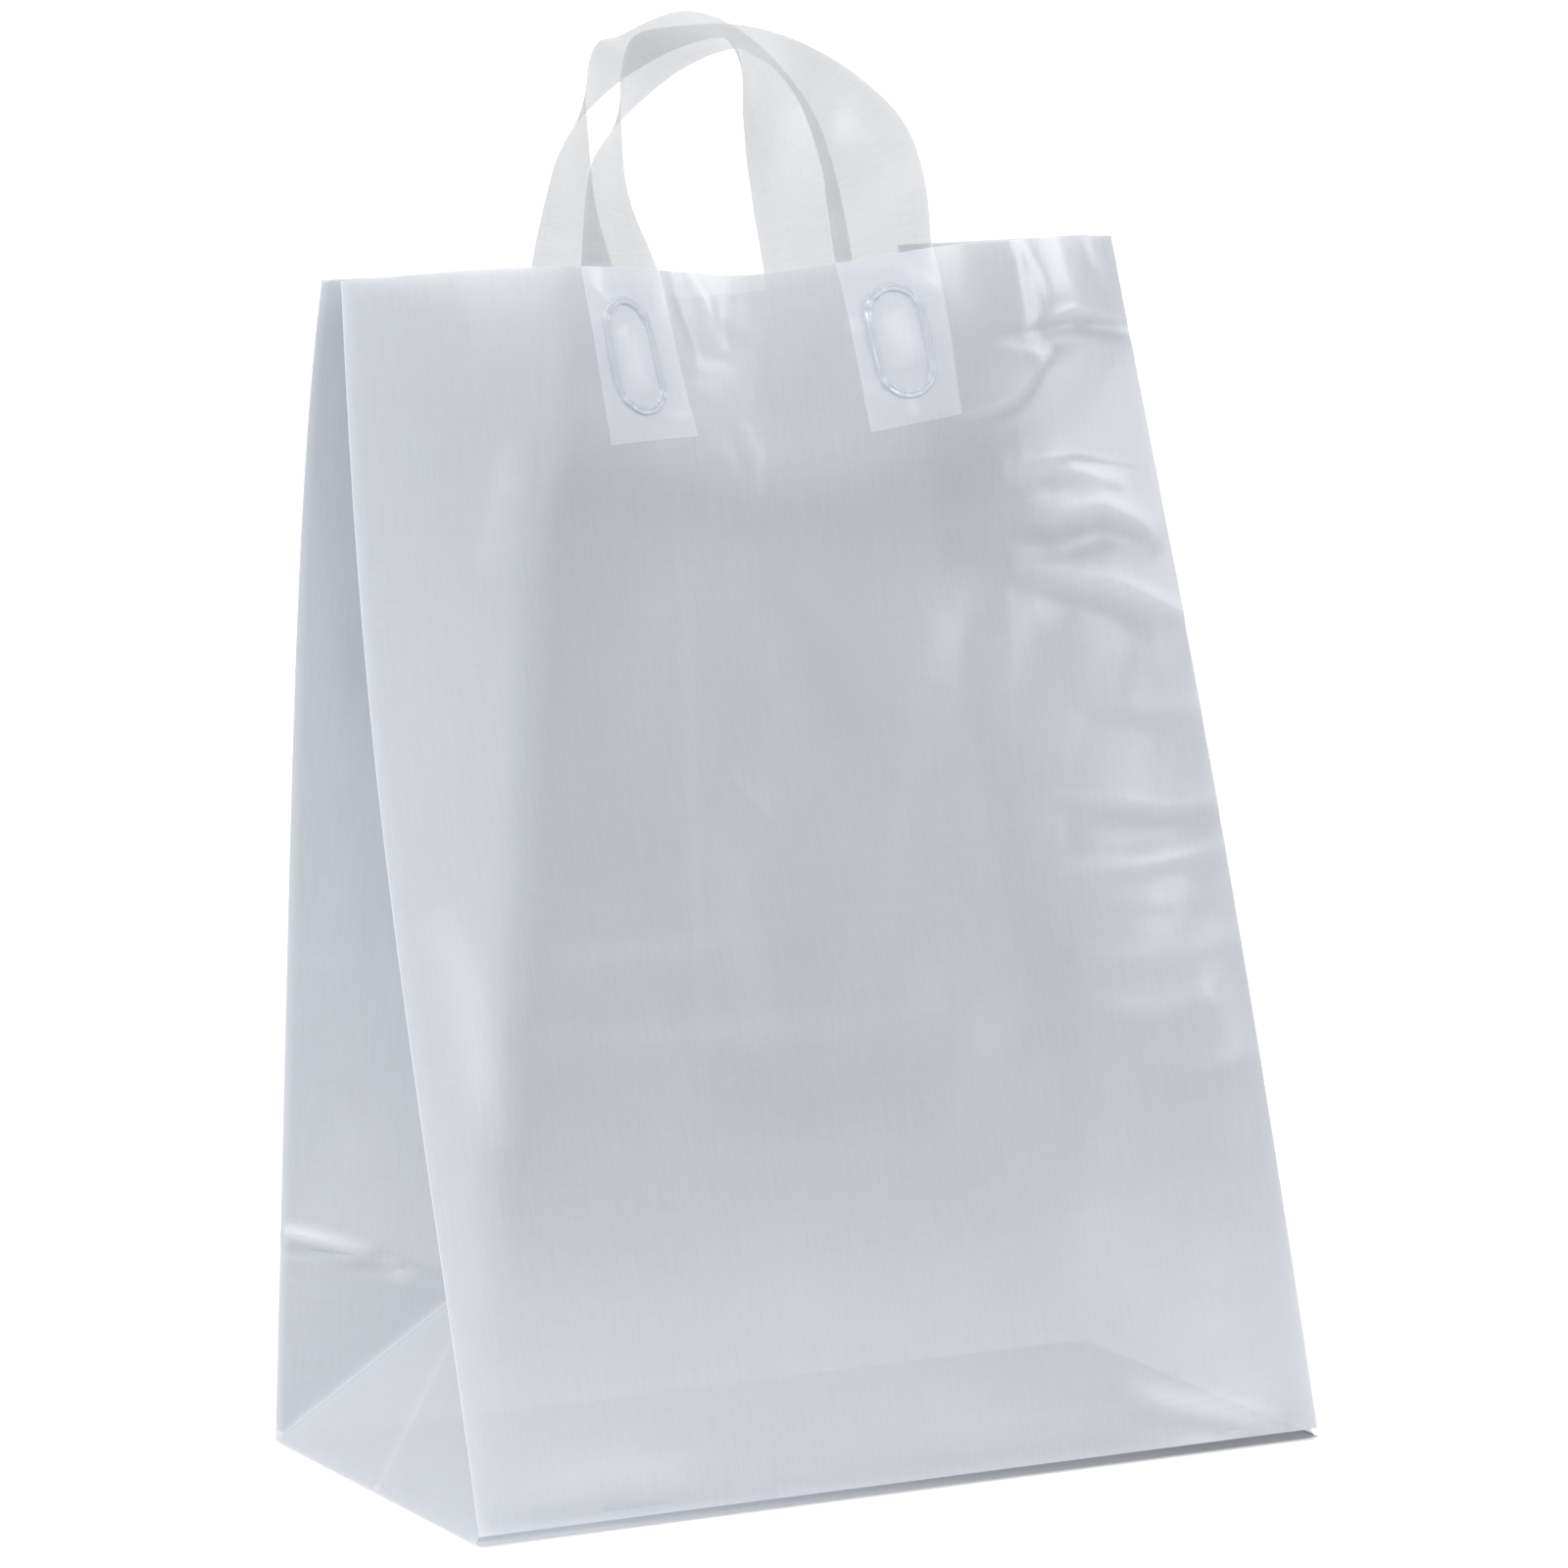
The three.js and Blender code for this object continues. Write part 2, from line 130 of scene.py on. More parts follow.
class StageLook(bpy.types.PropertyGroup):
    """Floor, lamps and camera."""

    floor: colour("Floor", (0.50, 0.50, 0.505), "Colour of the floor")
    floor_white: fraction(
        "Floor white", 0.46, "Plain white added where the camera sees the floor")
    world: bpy.props.FloatProperty(
        name="World", default=0.15, description="Strength of the light from all round")
    front_level: lamp_level("Front lamp", 0.38)
    right_level: lamp_level("Right lamp", 0.42)
    left_level: lamp_level("Left lamp", 0.45)
    rear_level: lamp_level("Rear lamp", 0.15)
    camera_place: bpy.props.FloatVectorProperty(
        name="Camera", description="Where the camera stands", size=3, unit="LENGTH",
        subtype="TRANSLATION", default=(-1.288817, -2.445023, 0.683343))
    camera_turn: degrees("Turn", 27.694, "Which way the camera looks, from +Y toward +X")
    camera_dip: degrees("Dip", 9.210, "How far the camera looks down")
    lens: bpy.props.FloatProperty(
        name="Lens", description="Focal length on a 36 mm frame, in millimetres",
        default=183.57)


# Small helpers for forms. Arrays of points have x, y and z last.


def mix(a, b, share):
    return a + (b - a) * share


def ease(value, low, high):
    share = np.clip((value - low) / (high - low), 0.0, 1.0)
    return share * share * (3 - 2 * share)


def points(*parts):
    return np.stack(np.broadcast_arrays(*parts), axis=-1).astype(float)


def unit(vectors):
    return vectors / np.maximum(np.linalg.norm(vectors, axis=-1, keepdims=True), 1e-12)


def smooth_line(stations, share):
    """Points at shares 0 to 1 of a centripetal spline through stations, evenly by station."""
    stations = np.asarray(stations, float)
    last = len(stations) - 1
    where = np.clip(np.asarray(share, float), 0, 1) * last
    k = np.minimum(where.astype(int), last - 1)
    local = (where - k)[..., None]
    padded = np.vstack([2 * stations[0] - stations[1], stations, 2 * stations[-1] - stations[-2]])
    p0, p1, p2, p3 = (padded[k + i] for i in range(4))
    d0, d1, d2 = (
        np.maximum(np.linalg.norm(b - a, axis=-1, keepdims=True), 1e-9) ** 0.5
        for a, b in ((p0, p1), (p1, p2), (p2, p3)))
    start = ((p1 - p0) / d0 - (p2 - p0) / (d0 + d1) + (p2 - p1) / d1) * d1
    end = ((p2 - p1) / d1 - (p3 - p1) / (d1 + d2) + (p3 - p2) / d2) * d1
    a, b = 2 * p1 - 2 * p2 + start + end, -3 * p1 + 3 * p2 - 2 * start - end
    return ((a * local + b) * local + start) * local + p1


def ripple(x, y, seed, octaves=3):
    """Soft irregular waves about 0, from sines laid at fixed odd angles."""
    rng = np.random.default_rng(seed)
    total = np.zeros(np.broadcast(x, y).shape)
    for octave in range(octaves):
        for _ in range(4):
            turn, phase = rng.uniform(0, math.tau, 2)
            pitch = 2 ** octave * rng.uniform(0.8, 1.25)
            along = (x * math.cos(turn) + y * math.sin(turn)) * pitch
            total = total + np.sin(math.tau * along + phase) / 2 ** octave
    return total / 5


def crease(x, h, line, width, height, sharp):
    """A soft fold along a line of points. sharp is 0 for a ridge and 1 for a step, where the
    film stands higher on the line's left than on its right."""
    line = np.asarray(line, float)
    spans = np.diff(line, axis=0)
    lengths = np.linalg.norm(spans, axis=1)
    starts = np.concatenate([[0], np.cumsum(lengths)])
    nearest = np.full(np.shape(x), 1e9)
    signed, share = np.zeros(np.shape(x)), np.zeros(np.shape(x))
    for (ax, ah), (dx, dh), length, start in zip(line, spans, lengths, starts):
        along = np.clip(((x - ax) * dx + (h - ah) * dh) / length ** 2, 0, 1)
        px, ph = x - ax - along * dx, h - ah - along * dh
        distance = np.hypot(px, ph)
        closer = distance < nearest
        nearest = np.where(closer, distance, nearest)
        side = np.sign(dx * ph - dh * px)
        signed = np.where(closer, side * distance, signed)
        share = np.where(closer, (start + along * length) / starts[-1], share)
    taper = np.clip(np.sin(math.pi * share), 0, 1) ** 0.6
    near = nearest / width
    ridge = np.exp(-near ** 2)
    step = np.tanh(signed / width) * np.exp(-(near / 4) ** 2)
    return height * taper * mix(ridge, step, sharp)


# Folds of the front panel: points across and up the film, width, height, how far each is a
# step rather than a ridge, and its white: painted highlight along the fold where above 0 and
# painted shade where below 0, partly the film's own whitening at the crease
FRONT_CREASES = [
    ([(-92, 372), (-74, 364), (-58, 361), (-33, 355), (1, 348), (33, 349), (61, 355), (86, 370)],
     9, 1.3, 1, 0),
    ([(-36, 372), (-40, 330), (-46, 260), (-52, 200), (-60, 130)], 2.2, 0.3, 0.3, 0.1),
    ([(-31, 442), (-28, 428), (-24, 414), (-20, 400)], 2.0, -0.9, 0.4, -0.25),
    ([(-24, 442), (-16, 426), (-12, 404)], 3.0, 0.9, 0.2, 0.4),
    ([(-6, 434), (-10, 420), (-12, 400)], 3.4, -0.4, 0.1, -0.1),
    ([(-18, 424), (-4, 414), (12, 410)], 2.4, 0.3, 0.6, 0.1),
    ([(-9, 382), (-4, 366), (-4, 350)], 1.8, 0.5, 0.2, 0.3),
    ([(-14, 376), (-10, 362), (-2, 346)], 2.2, -0.4, 0.1, 0),
    ([(-116, 326), (-110, 346), (-100, 376)], 4.5, 0.9, 0.1, 0.25),
    ([(-112, 366), (-100, 352), (-88, 349)], 3.0, 0.5, 0.3, 0.1),
    ([(-31, 254), (-25, 245), (-16, 234)], 1.2, 0.3, 0.3, 0.15),
    ([(-112, 192), (-88, 194), (-60, 193), (-36, 197)], 3.6, 0.6, 0.7, 0.24),
    ([(-124, 168), (-90, 164), (-40, 162), (6, 161), (40, 166)], 4.4, 0.6, 0.6, 0.2),
    ([(-60, 120), (-20, 112), (40, 116)], 9.0, 0.4, 0.3, 0.08),
    ([(-150, 214), (-143, 190), (-140, 160), (-138, 130)], 6.0, 0.7, 0.1, 0.4),
    ([(-90, 300), (-80, 290), (-74, 268)], 4.0, 0.3, 0.2, 0),
    ([(-6, 332), (14, 300), (20, 262)], 9.0, 0.3, 0.1, -0.1),
    ([(-40, 240), (-36, 190), (-34, 150)], 7.0, 0.3, 0.1, 0.1),
    # Around and inside the weld beads
    ([(-68, 428), (-58, 421), (-50, 425)], 1.6, 0.6, 0.3, 0.3),
    ([(-54, 414), (-50, 402), (-46, 389)], 4.5, 1.2, 0.1, 0.5),
    ([(-40, 384), (-34, 380), (-28, 382)], 1.8, 0.4, 0.3, 0.2),
    ([(52, 415), (55, 404), (58, 393)], 4.5, 1.3, 0.1, 0.55),
    ([(54, 386), (57, 380), (60, 374)], 1.8, 0.9, 0.2, 0.4),
    ([(34, 414), (40, 409), (44, 412)], 1.8, 0.6, 0.3, 0.4),
    ([(58, 434), (64, 424), (72, 418)], 2.2, 0.7, 0.3, 0.4),
    ([(38, 390), (46, 384), (52, 382)], 2.2, 0.5, 0.3, 0.2),
    # Down the right side
    ([(112, 445), (117, 428), (118, 410), (114, 398)], 2.6, 0.9, 0.7, 0.3),
    ([(138, 446), (136, 430), (138, 418), (144, 404)], 9.0, 2.4, 0.1, 0.7),
    ([(116, 430), (122, 424), (126, 412)], 1.8, 0.6, 0.4, 0.4),
    ([(150, 444), (154, 428), (162, 420)], 4.0, 0.9, 0.3, 0.3),
    ([(96, 401), (112, 400), (136, 403), (168, 398)], 2.6, -1.1, 0.4, -0.3),
    ([(122, 405), (138, 408), (166, 404)], 1.8, 0.8, 0.3, 0.5),
    ([(114, 396), (119, 391), (125, 395)], 1.5, 1.0, 0.3, 1.1),
    ([(74, 373), (92, 374), (104, 377), (114, 384), (119, 391)], 1.8, 1.0, 0.5, 0.6),
    ([(94, 353), (101, 350), (118, 353), (132, 349), (154, 344)], 4.4, 1.9, 0.4, 1.0),
    ([(90, 352), (112, 355), (128, 356), (160, 350)], 1.4, 0.9, 0.6, 0.35),
    ([(104, 341), (116, 336), (136, 338), (160, 327)], 5.4, 1.9, 0.4, 0.95),
    ([(96, 326), (120, 324), (140, 328), (160, 320)], 5.5, -0.9, 0.1, -0.35),
    ([(94, 317), (116, 313), (134, 310), (152, 302), (170, 294)], 4.4, 2.0, 0.5, 0.95),
    ([(104, 304), (124, 300), (150, 290)], 5.0, -0.6, 0.2, -0.2),
    ([(112, 268), (142, 262), (168, 262)], 4.6, 0.5, 0.5, 0.12),
    ([(92, 236), (114, 232), (140, 227), (170, 228)], 3.4, 0.9, 0.6, 0.5),
    ([(96, 222), (130, 218), (168, 220)], 6.0, -0.5, 0.1, -0.2),
    ([(90, 210), (124, 208), (146, 210), (170, 214)], 3.8, 1.0, 0.5, 0.6),
    ([(106, 196), (138, 194), (168, 198)], 4.0, 0.4, 0.5, 0.12),
    ([(94, 179), (122, 175), (142, 176), (166, 180)], 4.4, 0.6, 0.6, 0.35),
    ([(98, 160), (124, 157), (150, 161)], 4.8, 0.6, 0.4, 0.35),
    ([(112, 140), (140, 134), (166, 138)], 5.0, 0.4, 0.4, 0.12),
    ([(90, 28), (106, 20), (128, 13), (152, 5)], 3.2, 1.6, 0.4, 1.2),
    ([(84, 12), (110, 10), (140, 4)], 2.4, -0.8, 0.2, 0),
    # Along the foot, left of the middle
    ([(-162, 5), (-130, 7), (-84, 5), (-50, 4)], 1.5, -0.8, 0.2, -0.35),
    ([(-150, 16), (-120, 18), (-84, 15)], 5.0, 0.6, 0.2, 0.2),
]
# The rear panel's folds, listed as for the front panel, with painted highlight and painted shade
# in the last column
REAR_CREASES = [
    ([(-84, 368), (-40, 352), (0, 348), (44, 354), (88, 370)], 9, 1.2, 1, 0),
    ([(-20, 436), (-14, 420), (-6, 398)], 3.0, 0.7, 0.3, 0.3),
    ([(16, 436), (10, 416), (14, 396)], 3.2, 0.6, 0.3, 0.2),
    ([(-150, 344), (-128, 348), (-98, 340)], 3.4, 0.9, 0.5, 0.6),
    ([(96, 330), (122, 334), (150, 324)], 3.6, 0.9, 0.5, 0.5),
    ([(-156, 250), (-130, 246), (-100, 252)], 3.4, 0.7, 0.5, 0.3),
    ([(104, 226), (130, 222), (160, 228)], 3.4, 0.8, 0.5, 0.4),
    ([(-60, 190), (-10, 184), (50, 192)], 6.0, 0.6, 0.5, 0.15),
    ([(-110, 26), (-128, 14), (-150, 6)], 2.8, 1.0, 0.4, 0.6),
]
# Folds of the left gusset's rear half: points inward from the edge crease and up the film, then
# width, height, step share and white as for the front panel, white being painted highlight and
# painted shade
GUSSET_CREASES = [
    ([(-18, 84), (0, 79.5), (16, 78), (38, 75)], 2.5, 2.4, 0.35, 1.5),
    ([(-14, 75), (10, 73), (34, 71), (52, 70)], 1.5, -1.6, 0.5, -0.8),
    ([(44, 71), (50, 70), (58, 69), (72, 67)], 1.3, -0.5, 0.2, 0.2),
    ([(42, 76), (48, 71), (54, 67)], 3.0, -0.9, 0.1, 0.3),
    ([(-3, 61), (14, 59), (32, 57)], 1.6, 0.35, 0.4, 0.15),
    ([(0, 180), (20, 181), (42, 179)], 2.6, 0.45, 0.5, 0.12),
    ([(14, 330), (22, 240), (30, 170)], 6.0, 0.5, 0.2, -0.1),
    ([(58, 190), (66, 130), (76, 96)], 9.0, 0.6, 0.2, 0.25),
]


# The standing bag


# A distance, in millimetres, that counts as far from any fold or flap
FAR = 20.0
# Share of a flap's slant that its cut lower end has
END_SLANT = 0.6
# Painted light: how much paler film is in a gusset, in the part of a foot that lies under the
# fold, in the base, in a weld bead and in a flap, as where more film lies close behind; in a weld
# bead it stands for the bead's glints
GUSSET_PALE, UNDER_PALE, BASE_PALE, BEAD_PALE, FLAP_END_PALE = 0.42, 0.9, 0.7, 0.95, 0.8
HEM_DEPTH, HEM_HEIGHT, HEM_WIDTH = 0.55, 5.5, 2.6
# The seal across the base: where it runs from front to rear, and its width and height
SEAL_PLACE, SEAL_WIDTH, SEAL_HEIGHT = -12.0, 1.6, 1.5
# How far the base and the flaps lie off the film that they touch
BASE_GAP, FLAP_GAP = 0.02, 0.6
# How each side edge goes up: inward, back over the base, its height, and how far its front edge
# bows back, as a share of the lean and with where the bow is deepest
SIDES = {
    -1: {"inset": 13.0, "lean": 56.0, "height": 414.5, "bow": 0.12, "bow_place": 1.3},
    1: {"inset": 3.0, "lean": 72.0, "height": 415.5, "bow": -0.045, "bow_place": 1},
}
# The mouth's waves: each panel's shift in x, y and z at its left edge, a little outside the left
# leg, at the leg's two sides, in the middle, and in the same way on to its right edge
MOUTH_EASE = 47.0
FRONT_MOUTH = [(0, 0, 0), (-2, -8, 2), (-7, -25, 3), (-8, -16, -1), (-4, -12, -5),
               (-1, -18, -2), (0, -23, 2), (0, -13, 2), (0, 0, 0)]
# The waves fade out from the mouth down to this share of the height
MOUTH_FADE = 0.68
REAR_MOUTH = [(0, 0, 0), (-3, 1, -2), (-6, 3, -5), (-4, 8, -11), (-5, 11, -15),
              (-6, 10, -14), (-6, 8, -10), (-3, 4, -5), (0, 0, 0)]


class BagForm:
    """The film tube, folded and standing open. u runs across a panel and v across half a
    gusset, from its edge crease inward. t is the share of the height."""

    def __init__(self, bag, loops):
        self.width = bag.width * 1000
        self.depth = bag.depth * 1000
        self.gap = bag.mouth_gap * 1000
        self.swell = bag.swell * 1000
        self.crumple = bag.crumple * 1000
        self.strip = loops.strip_width * 1000
        self.legs = loops.leg_spacing * 1000
        self.flap = loops.flap_length * 1000
        self.flap_slant = loops.flap_slant * 1000
        self.bead_height = loops.bead_height * 1000
        self.bead_width = loops.bead_width * 1000
        self.bead_band = loops.bead_band * 1000
        self.bead_drop = loops.bead_drop * 1000
        self.gusset = self.depth / 2
        left = SIDES[-1]
        self.length = math.hypot(left["height"], left["lean"] + (self.depth - self.gap) / 2)
        inner, outer = self.legs / 2 - self.strip / 2, self.legs / 2 + self.strip / 2
        across = [-outer - MOUTH_EASE, -outer, -inner, 0, inner, outer, outer + MOUTH_EASE]
        self.mouth_at = np.array([0.0, *(0.5 + x / self.width for x in across), 1.0])
        self.foot_top = (self.foot_share(-1) + self.foot_share(1)) / 2

    def front_edge(self, side, t):
        corner = SIDES[side]
        bow = corner["bow"] * np.sin(math.pi * t ** corner["bow_place"])
        return points(
            side * (self.width / 2 - corner["inset"] * t),
            mix(-self.depth / 2, corner["lean"] - self.gap / 2, t + bow),
            corner["height"] * t)

    def rear_edge(self, side, t):
        corner = SIDES[side]
        return points(
            side * (self.width / 2 - corner["inset"] * t),
            mix(self.depth / 2, corner["lean"] + self.gap / 2, 0.2 * t + 0.8 * t ** 6),
            (corner["height"] - 1) * t)

    def centre_crease(self, side, t):
        """The crease down a gusset's middle, as far in as its half width lets it go."""
        front, rear = self.front_edge(side, t), self.rear_edge(side, t)
        half_gap = np.linalg.norm(front - rear, axis=-1) / 2
        middle = (front + rear) / 2
        middle[..., 0] -= side * np.sqrt(np.maximum(0, self.gusset ** 2 - half_gap ** 2))
        return middle

    def foot_share(self, side):
        """Share of the height where a foot's triangle has its tip."""
        low, high = 0.0, 1.0
        foot = np.array([side * self.width / 2, 0, 0])
        for _ in range(40):
            t = (low + high) / 2
            reach = np.linalg.norm(self.centre_crease(side, np.array(t)) - foot)
            low, high = (t, high) if reach < self.gusset else (low, t)
        return low

    def plain_panel(self, front, u, t):
        """A panel before its creases, with the mouth's waves and its belly."""
        edge, stations, swell = (
            (self.front_edge, FRONT_MOUTH, -self.swell) if front
            else (self.rear_edge, REAR_MOUTH, self.swell))
        place = mix(edge(-1, t), edge(1, t), u[..., None])
        station = np.interp(u, self.mouth_at, np.linspace(0, 1, len(self.mouth_at)))
        fade = ease(t, MOUTH_FADE, 1.0) ** 1.3
        place = place + smooth_line(stations, station) * fade[..., None]
        place[..., 1] += swell * np.sin(math.pi * u) * np.sin(math.pi * t)
        return place

    def facing(self, front, u, t):
        """Which way the plain panel faces, out of the bag."""
        step = 1e-3
        along_u = self.plain_panel(front, u + step, t) - self.plain_panel(front, u - step, t)
        along_t = (self.plain_panel(front, u, np.minimum(t + step, 1))
                   - self.plain_panel(front, u, t - step))
        return unit(np.cross(along_u, along_t)) * (1 if front else -1)

    def panel(self, front, u, t, out=0.0):
        """A panel with its creases, moved out by a distance from the bag's inside."""
        u, t = np.broadcast_arrays(np.asarray(u, float), np.asarray(t, float))
        rise = self.creased(front, (u - 0.5) * self.width, t * self.length)
        return self.plain_panel(front, u, t) + self.facing(front, u, t) * (rise + out)[..., None]

    def creased(self, front, x, h):
        """How far the film stands out of the plain panel, x across and h up the film. Broad
        waves and small ones die out at the foot and the side edges. A shallow hem runs low down
        where the base is folded up."""
        rim = ease(h, 2, 30) * ease(self.width / 2 - np.abs(x), 0, 24)
        fine = ripple(x / 120, h / 110, 3 if front else 4) * self.crumple * 1.5
        fine = fine + ripple(x / 30, h / 40, 5 if front else 6) * self.crumple * 0.18
        total = fine * rim
        for line, width, height, sharp, _ in FRONT_CREASES if front else REAR_CREASES:
            total = total + crease(x, h, line, width, height, sharp)
        hem = -HEM_DEPTH * np.exp(-((h - HEM_HEIGHT) / HEM_WIDTH) ** 2)
        return total + hem * ease(self.width / 2 - np.abs(x), 0, 5)

    def backing(self, front, x, h):
        """Painted light on a panel: up to 1 where more film lies close behind it, near the mouth
        and low down, and 0 where it stands by itself, which leaves painted shade over the bag's
        dim inside. left, right and top are the edges of the single sheet between the gussets and
        below the mouth. They are given at heights up the film, and top at places across it.
        Crease lines add painted highlights and painted shade."""
        if front:
            left = np.interp(h, [60, 122, 161, 221, 323, 380], [-152, -140, -131, -116, -98, -84])
            right = np.interp(h, [60, 144, 207, 300, 380], [100, 76, 73, 78, 82])
            top = np.interp(x, [-165, -89, -58, -33, 1, 33, 61, 82, 165],
                            [385, 368, 361, 355, 348, 349, 355, 368, 390])
        else:
            left = np.interp(h, [60, 122, 221, 323, 380], [-128, -110, -92, -78, -72])
            right, top = -left + 4, 372 - 14 * np.cos(x / 70)
        # Painted light where gusset film lies close behind; the single sheet between keeps the
        # painted shade of the bag's dim inside
        sides = 1 - (1 - 0.88 * ease(left - x, -11, 13)) * (1 - 0.12 * ease(x - right, -22, 26))
        # Painted light near the mouth, where the panels close, and low down, as from the floor
        upper = 0.42 * ease(h - top, -15, 24)
        lower = 0.95 * ease(h, 150, 12)
        pale = 1 - (1 - sides) * (1 - upper) * (1 - lower)
        # Crease lines add painted highlight, and painted shade where their white is below 0
        for line, width, _, _, white in FRONT_CREASES if front else REAR_CREASES:
            if white:
                pale = pale + crease(x, h, line, width * 1.3, white, 0)
        return pale

    def gusset_crease_highlights(self, side, front, across, up):
        # Painted highlight, and painted shade where a fold's white is below 0, along the gusset's
        # folds
        pale = np.zeros(np.broadcast(across, up).shape)
        if side < 0 and not front:
            for line, width, _, _, white in GUSSET_CREASES:
                if white:
                    pale = pale + crease(across, up, line, width * 1.3, white, 0)
        return pale

    def flap_lean(self, front, h):
        """How far to the side a flap has moved at a height on the film."""
        lean = self.flap_slant * (1 if front else -1)
        return lean * (self.length - h) / self.flap

    def inside_flap(self, front, x, h):
        """Millimetres inside the outline of the nearer flap, less than 0 outside."""
        across = x - self.flap_lean(front, h)
        across = np.where(x < 0, -1.0, 1.0) * self.legs / 2 - across
        low = self.length - self.flap - across * self.flap_slant / self.flap * END_SLANT
        return np.minimum(self.strip / 2 - np.abs(across), h - low)

    def gusset_half(self, side, front, v, t):
        """Half a gusset. Its foot folds at v = t / foot_top, along the 45 degree crease."""
        edge = self.front_edge if front else self.rear_edge
        v, t = np.broadcast_arrays(np.asarray(v, float), np.asarray(t, float))
        upper = mix(edge(side, t), self.centre_crease(side, t), v[..., None])
        row = np.clip(t / self.foot_top, 1e-6, 1)
        corner = edge(side, np.array(0.0))
        tip = self.centre_crease(side, np.array(self.foot_top))
        fold = mix(corner, tip, row[..., None])
        outer = mix(edge(side, t), fold, np.clip(v / row, 0, 1)[..., None])
        middle = mix(np.array([side * self.width / 2, 0, 0]), tip, row[..., None])
        inner = mix(fold, middle, np.clip((v - row) / np.maximum(1 - row, 1e-6), 0, 1)[..., None])
        lower = np.where((v <= row)[..., None], outer, inner)
        place = np.where((t >= self.foot_top)[..., None], upper, lower)
        across, up = v * self.gusset, t * self.length
        rise = ripple(across / 60, up / 110, 11 + side + 2 * front) * self.crumple * 2.4
        rise = rise * ease(v, 0, 0.2) * ease(v, 1, 0.8) * ease(t, self.foot_top, 0.3)
        if side < 0 and not front:
            for line, width, height, sharp, _ in GUSSET_CREASES:
                rise = rise + crease(across, up, line, width, height, sharp)
            rise = rise * ease(v, 1, 0.93)
        outward = unit(np.array([side * 1.0, 0.55 if front else -0.55, 0.1]))
        return place + outward * rise[..., None]


# Meshes


class Sheet:
    """Gathers points and faces in millimetres for one mesh. Each point also says how far it
    is from the nearest fold, how far inside a flap's outline it lies, how much painted light its
    colour carries, as where more film lies close behind it, and where it is on the flat film."""

    def __init__(self):
        self.places, self.faces, self.kinds, self.count = [], [], [], 0
        self.marks = {"fold": [], "flap": [], "backing": [], "film_place": []}

    def add(self, grid, fold=FAR, flap=-FAR, backing=0.0, film_place=(0.0, 0.0, 0.0)):
        """Adds a grid of points and gives back the grid of their numbers."""
        shape = grid.shape[:2]
        self.places.append(grid.reshape(-1, 3))
        for name, value in (("fold", fold), ("flap", flap), ("backing", backing)):
            self.marks[name].append(np.broadcast_to(value, shape).reshape(-1))
        self.marks["film_place"].append(np.broadcast_to(film_place, grid.shape).reshape(-1))
        numbers = np.arange(shape[0] * shape[1]).reshape(shape) + self.count
        self.count += numbers.size
        return numbers

    def cells(self, corners, kind=0):
        self.faces.extend(map(tuple, corners.tolist()))
        self.kinds.extend([kind] * len(corners))

    def quads(self, numbers, kind=0, flip=False, closed=False):
        """Faces between neighbours in a grid of numbers."""
        if closed:
            numbers = np.hstack([numbers, numbers[:, :1]])
        corners = np.stack([numbers[:-1, :-1], numbers[:-1, 1:], numbers[1:, 1:],
                            numbers[1:, :-1]], axis=-1).reshape(-1, 4)
        self.cells(corners[:, ::-1] if flip else corners, kind)

    def mesh(self, name, materials, sharp_angle=32.0):
        data = bpy.data.meshes.new(name)
        data.from_pydata((np.vstack(self.places) / 1000).tolist(), [], self.faces)
        for label, values in self.marks.items():
            kind, key = (("FLOAT_VECTOR", "vector") if label == "film_place"
                         else ("FLOAT", "value"))
            marks = data.attributes.new(label, kind, "POINT")
            marks.data.foreach_set(key, np.concatenate(values).astype(np.float32))
        for material in materials:
            data.materials.append(material)
        data.polygons.foreach_set("material_index", self.kinds)
        data.polygons.foreach_set("use_smooth", [True] * len(data.polygons))
        data.set_sharp_from_angle(angle=math.radians(sharp_angle))
        data.update()
        made = bpy.data.objects.new(name, data)
        bpy.context.scene.collection.objects.link(made)
        return made


FRONT_LINES = 180
REAR_LINES = 68
GUSSET_LINES = 24
WALL_ROWS = 240


def close_edges(count, span, first=(0.0, 0.35, 0.9, 1.8)):
    """Shares of a span with extra lines close to both of its ends, in millimetres."""
    inner = np.linspace(first[-1], span - first[-1], count - 2 * len(first) + 3)[1:-1]
    ends = np.array(first)
    return np.concatenate([ends, inner, span - ends[::-1]]) / span


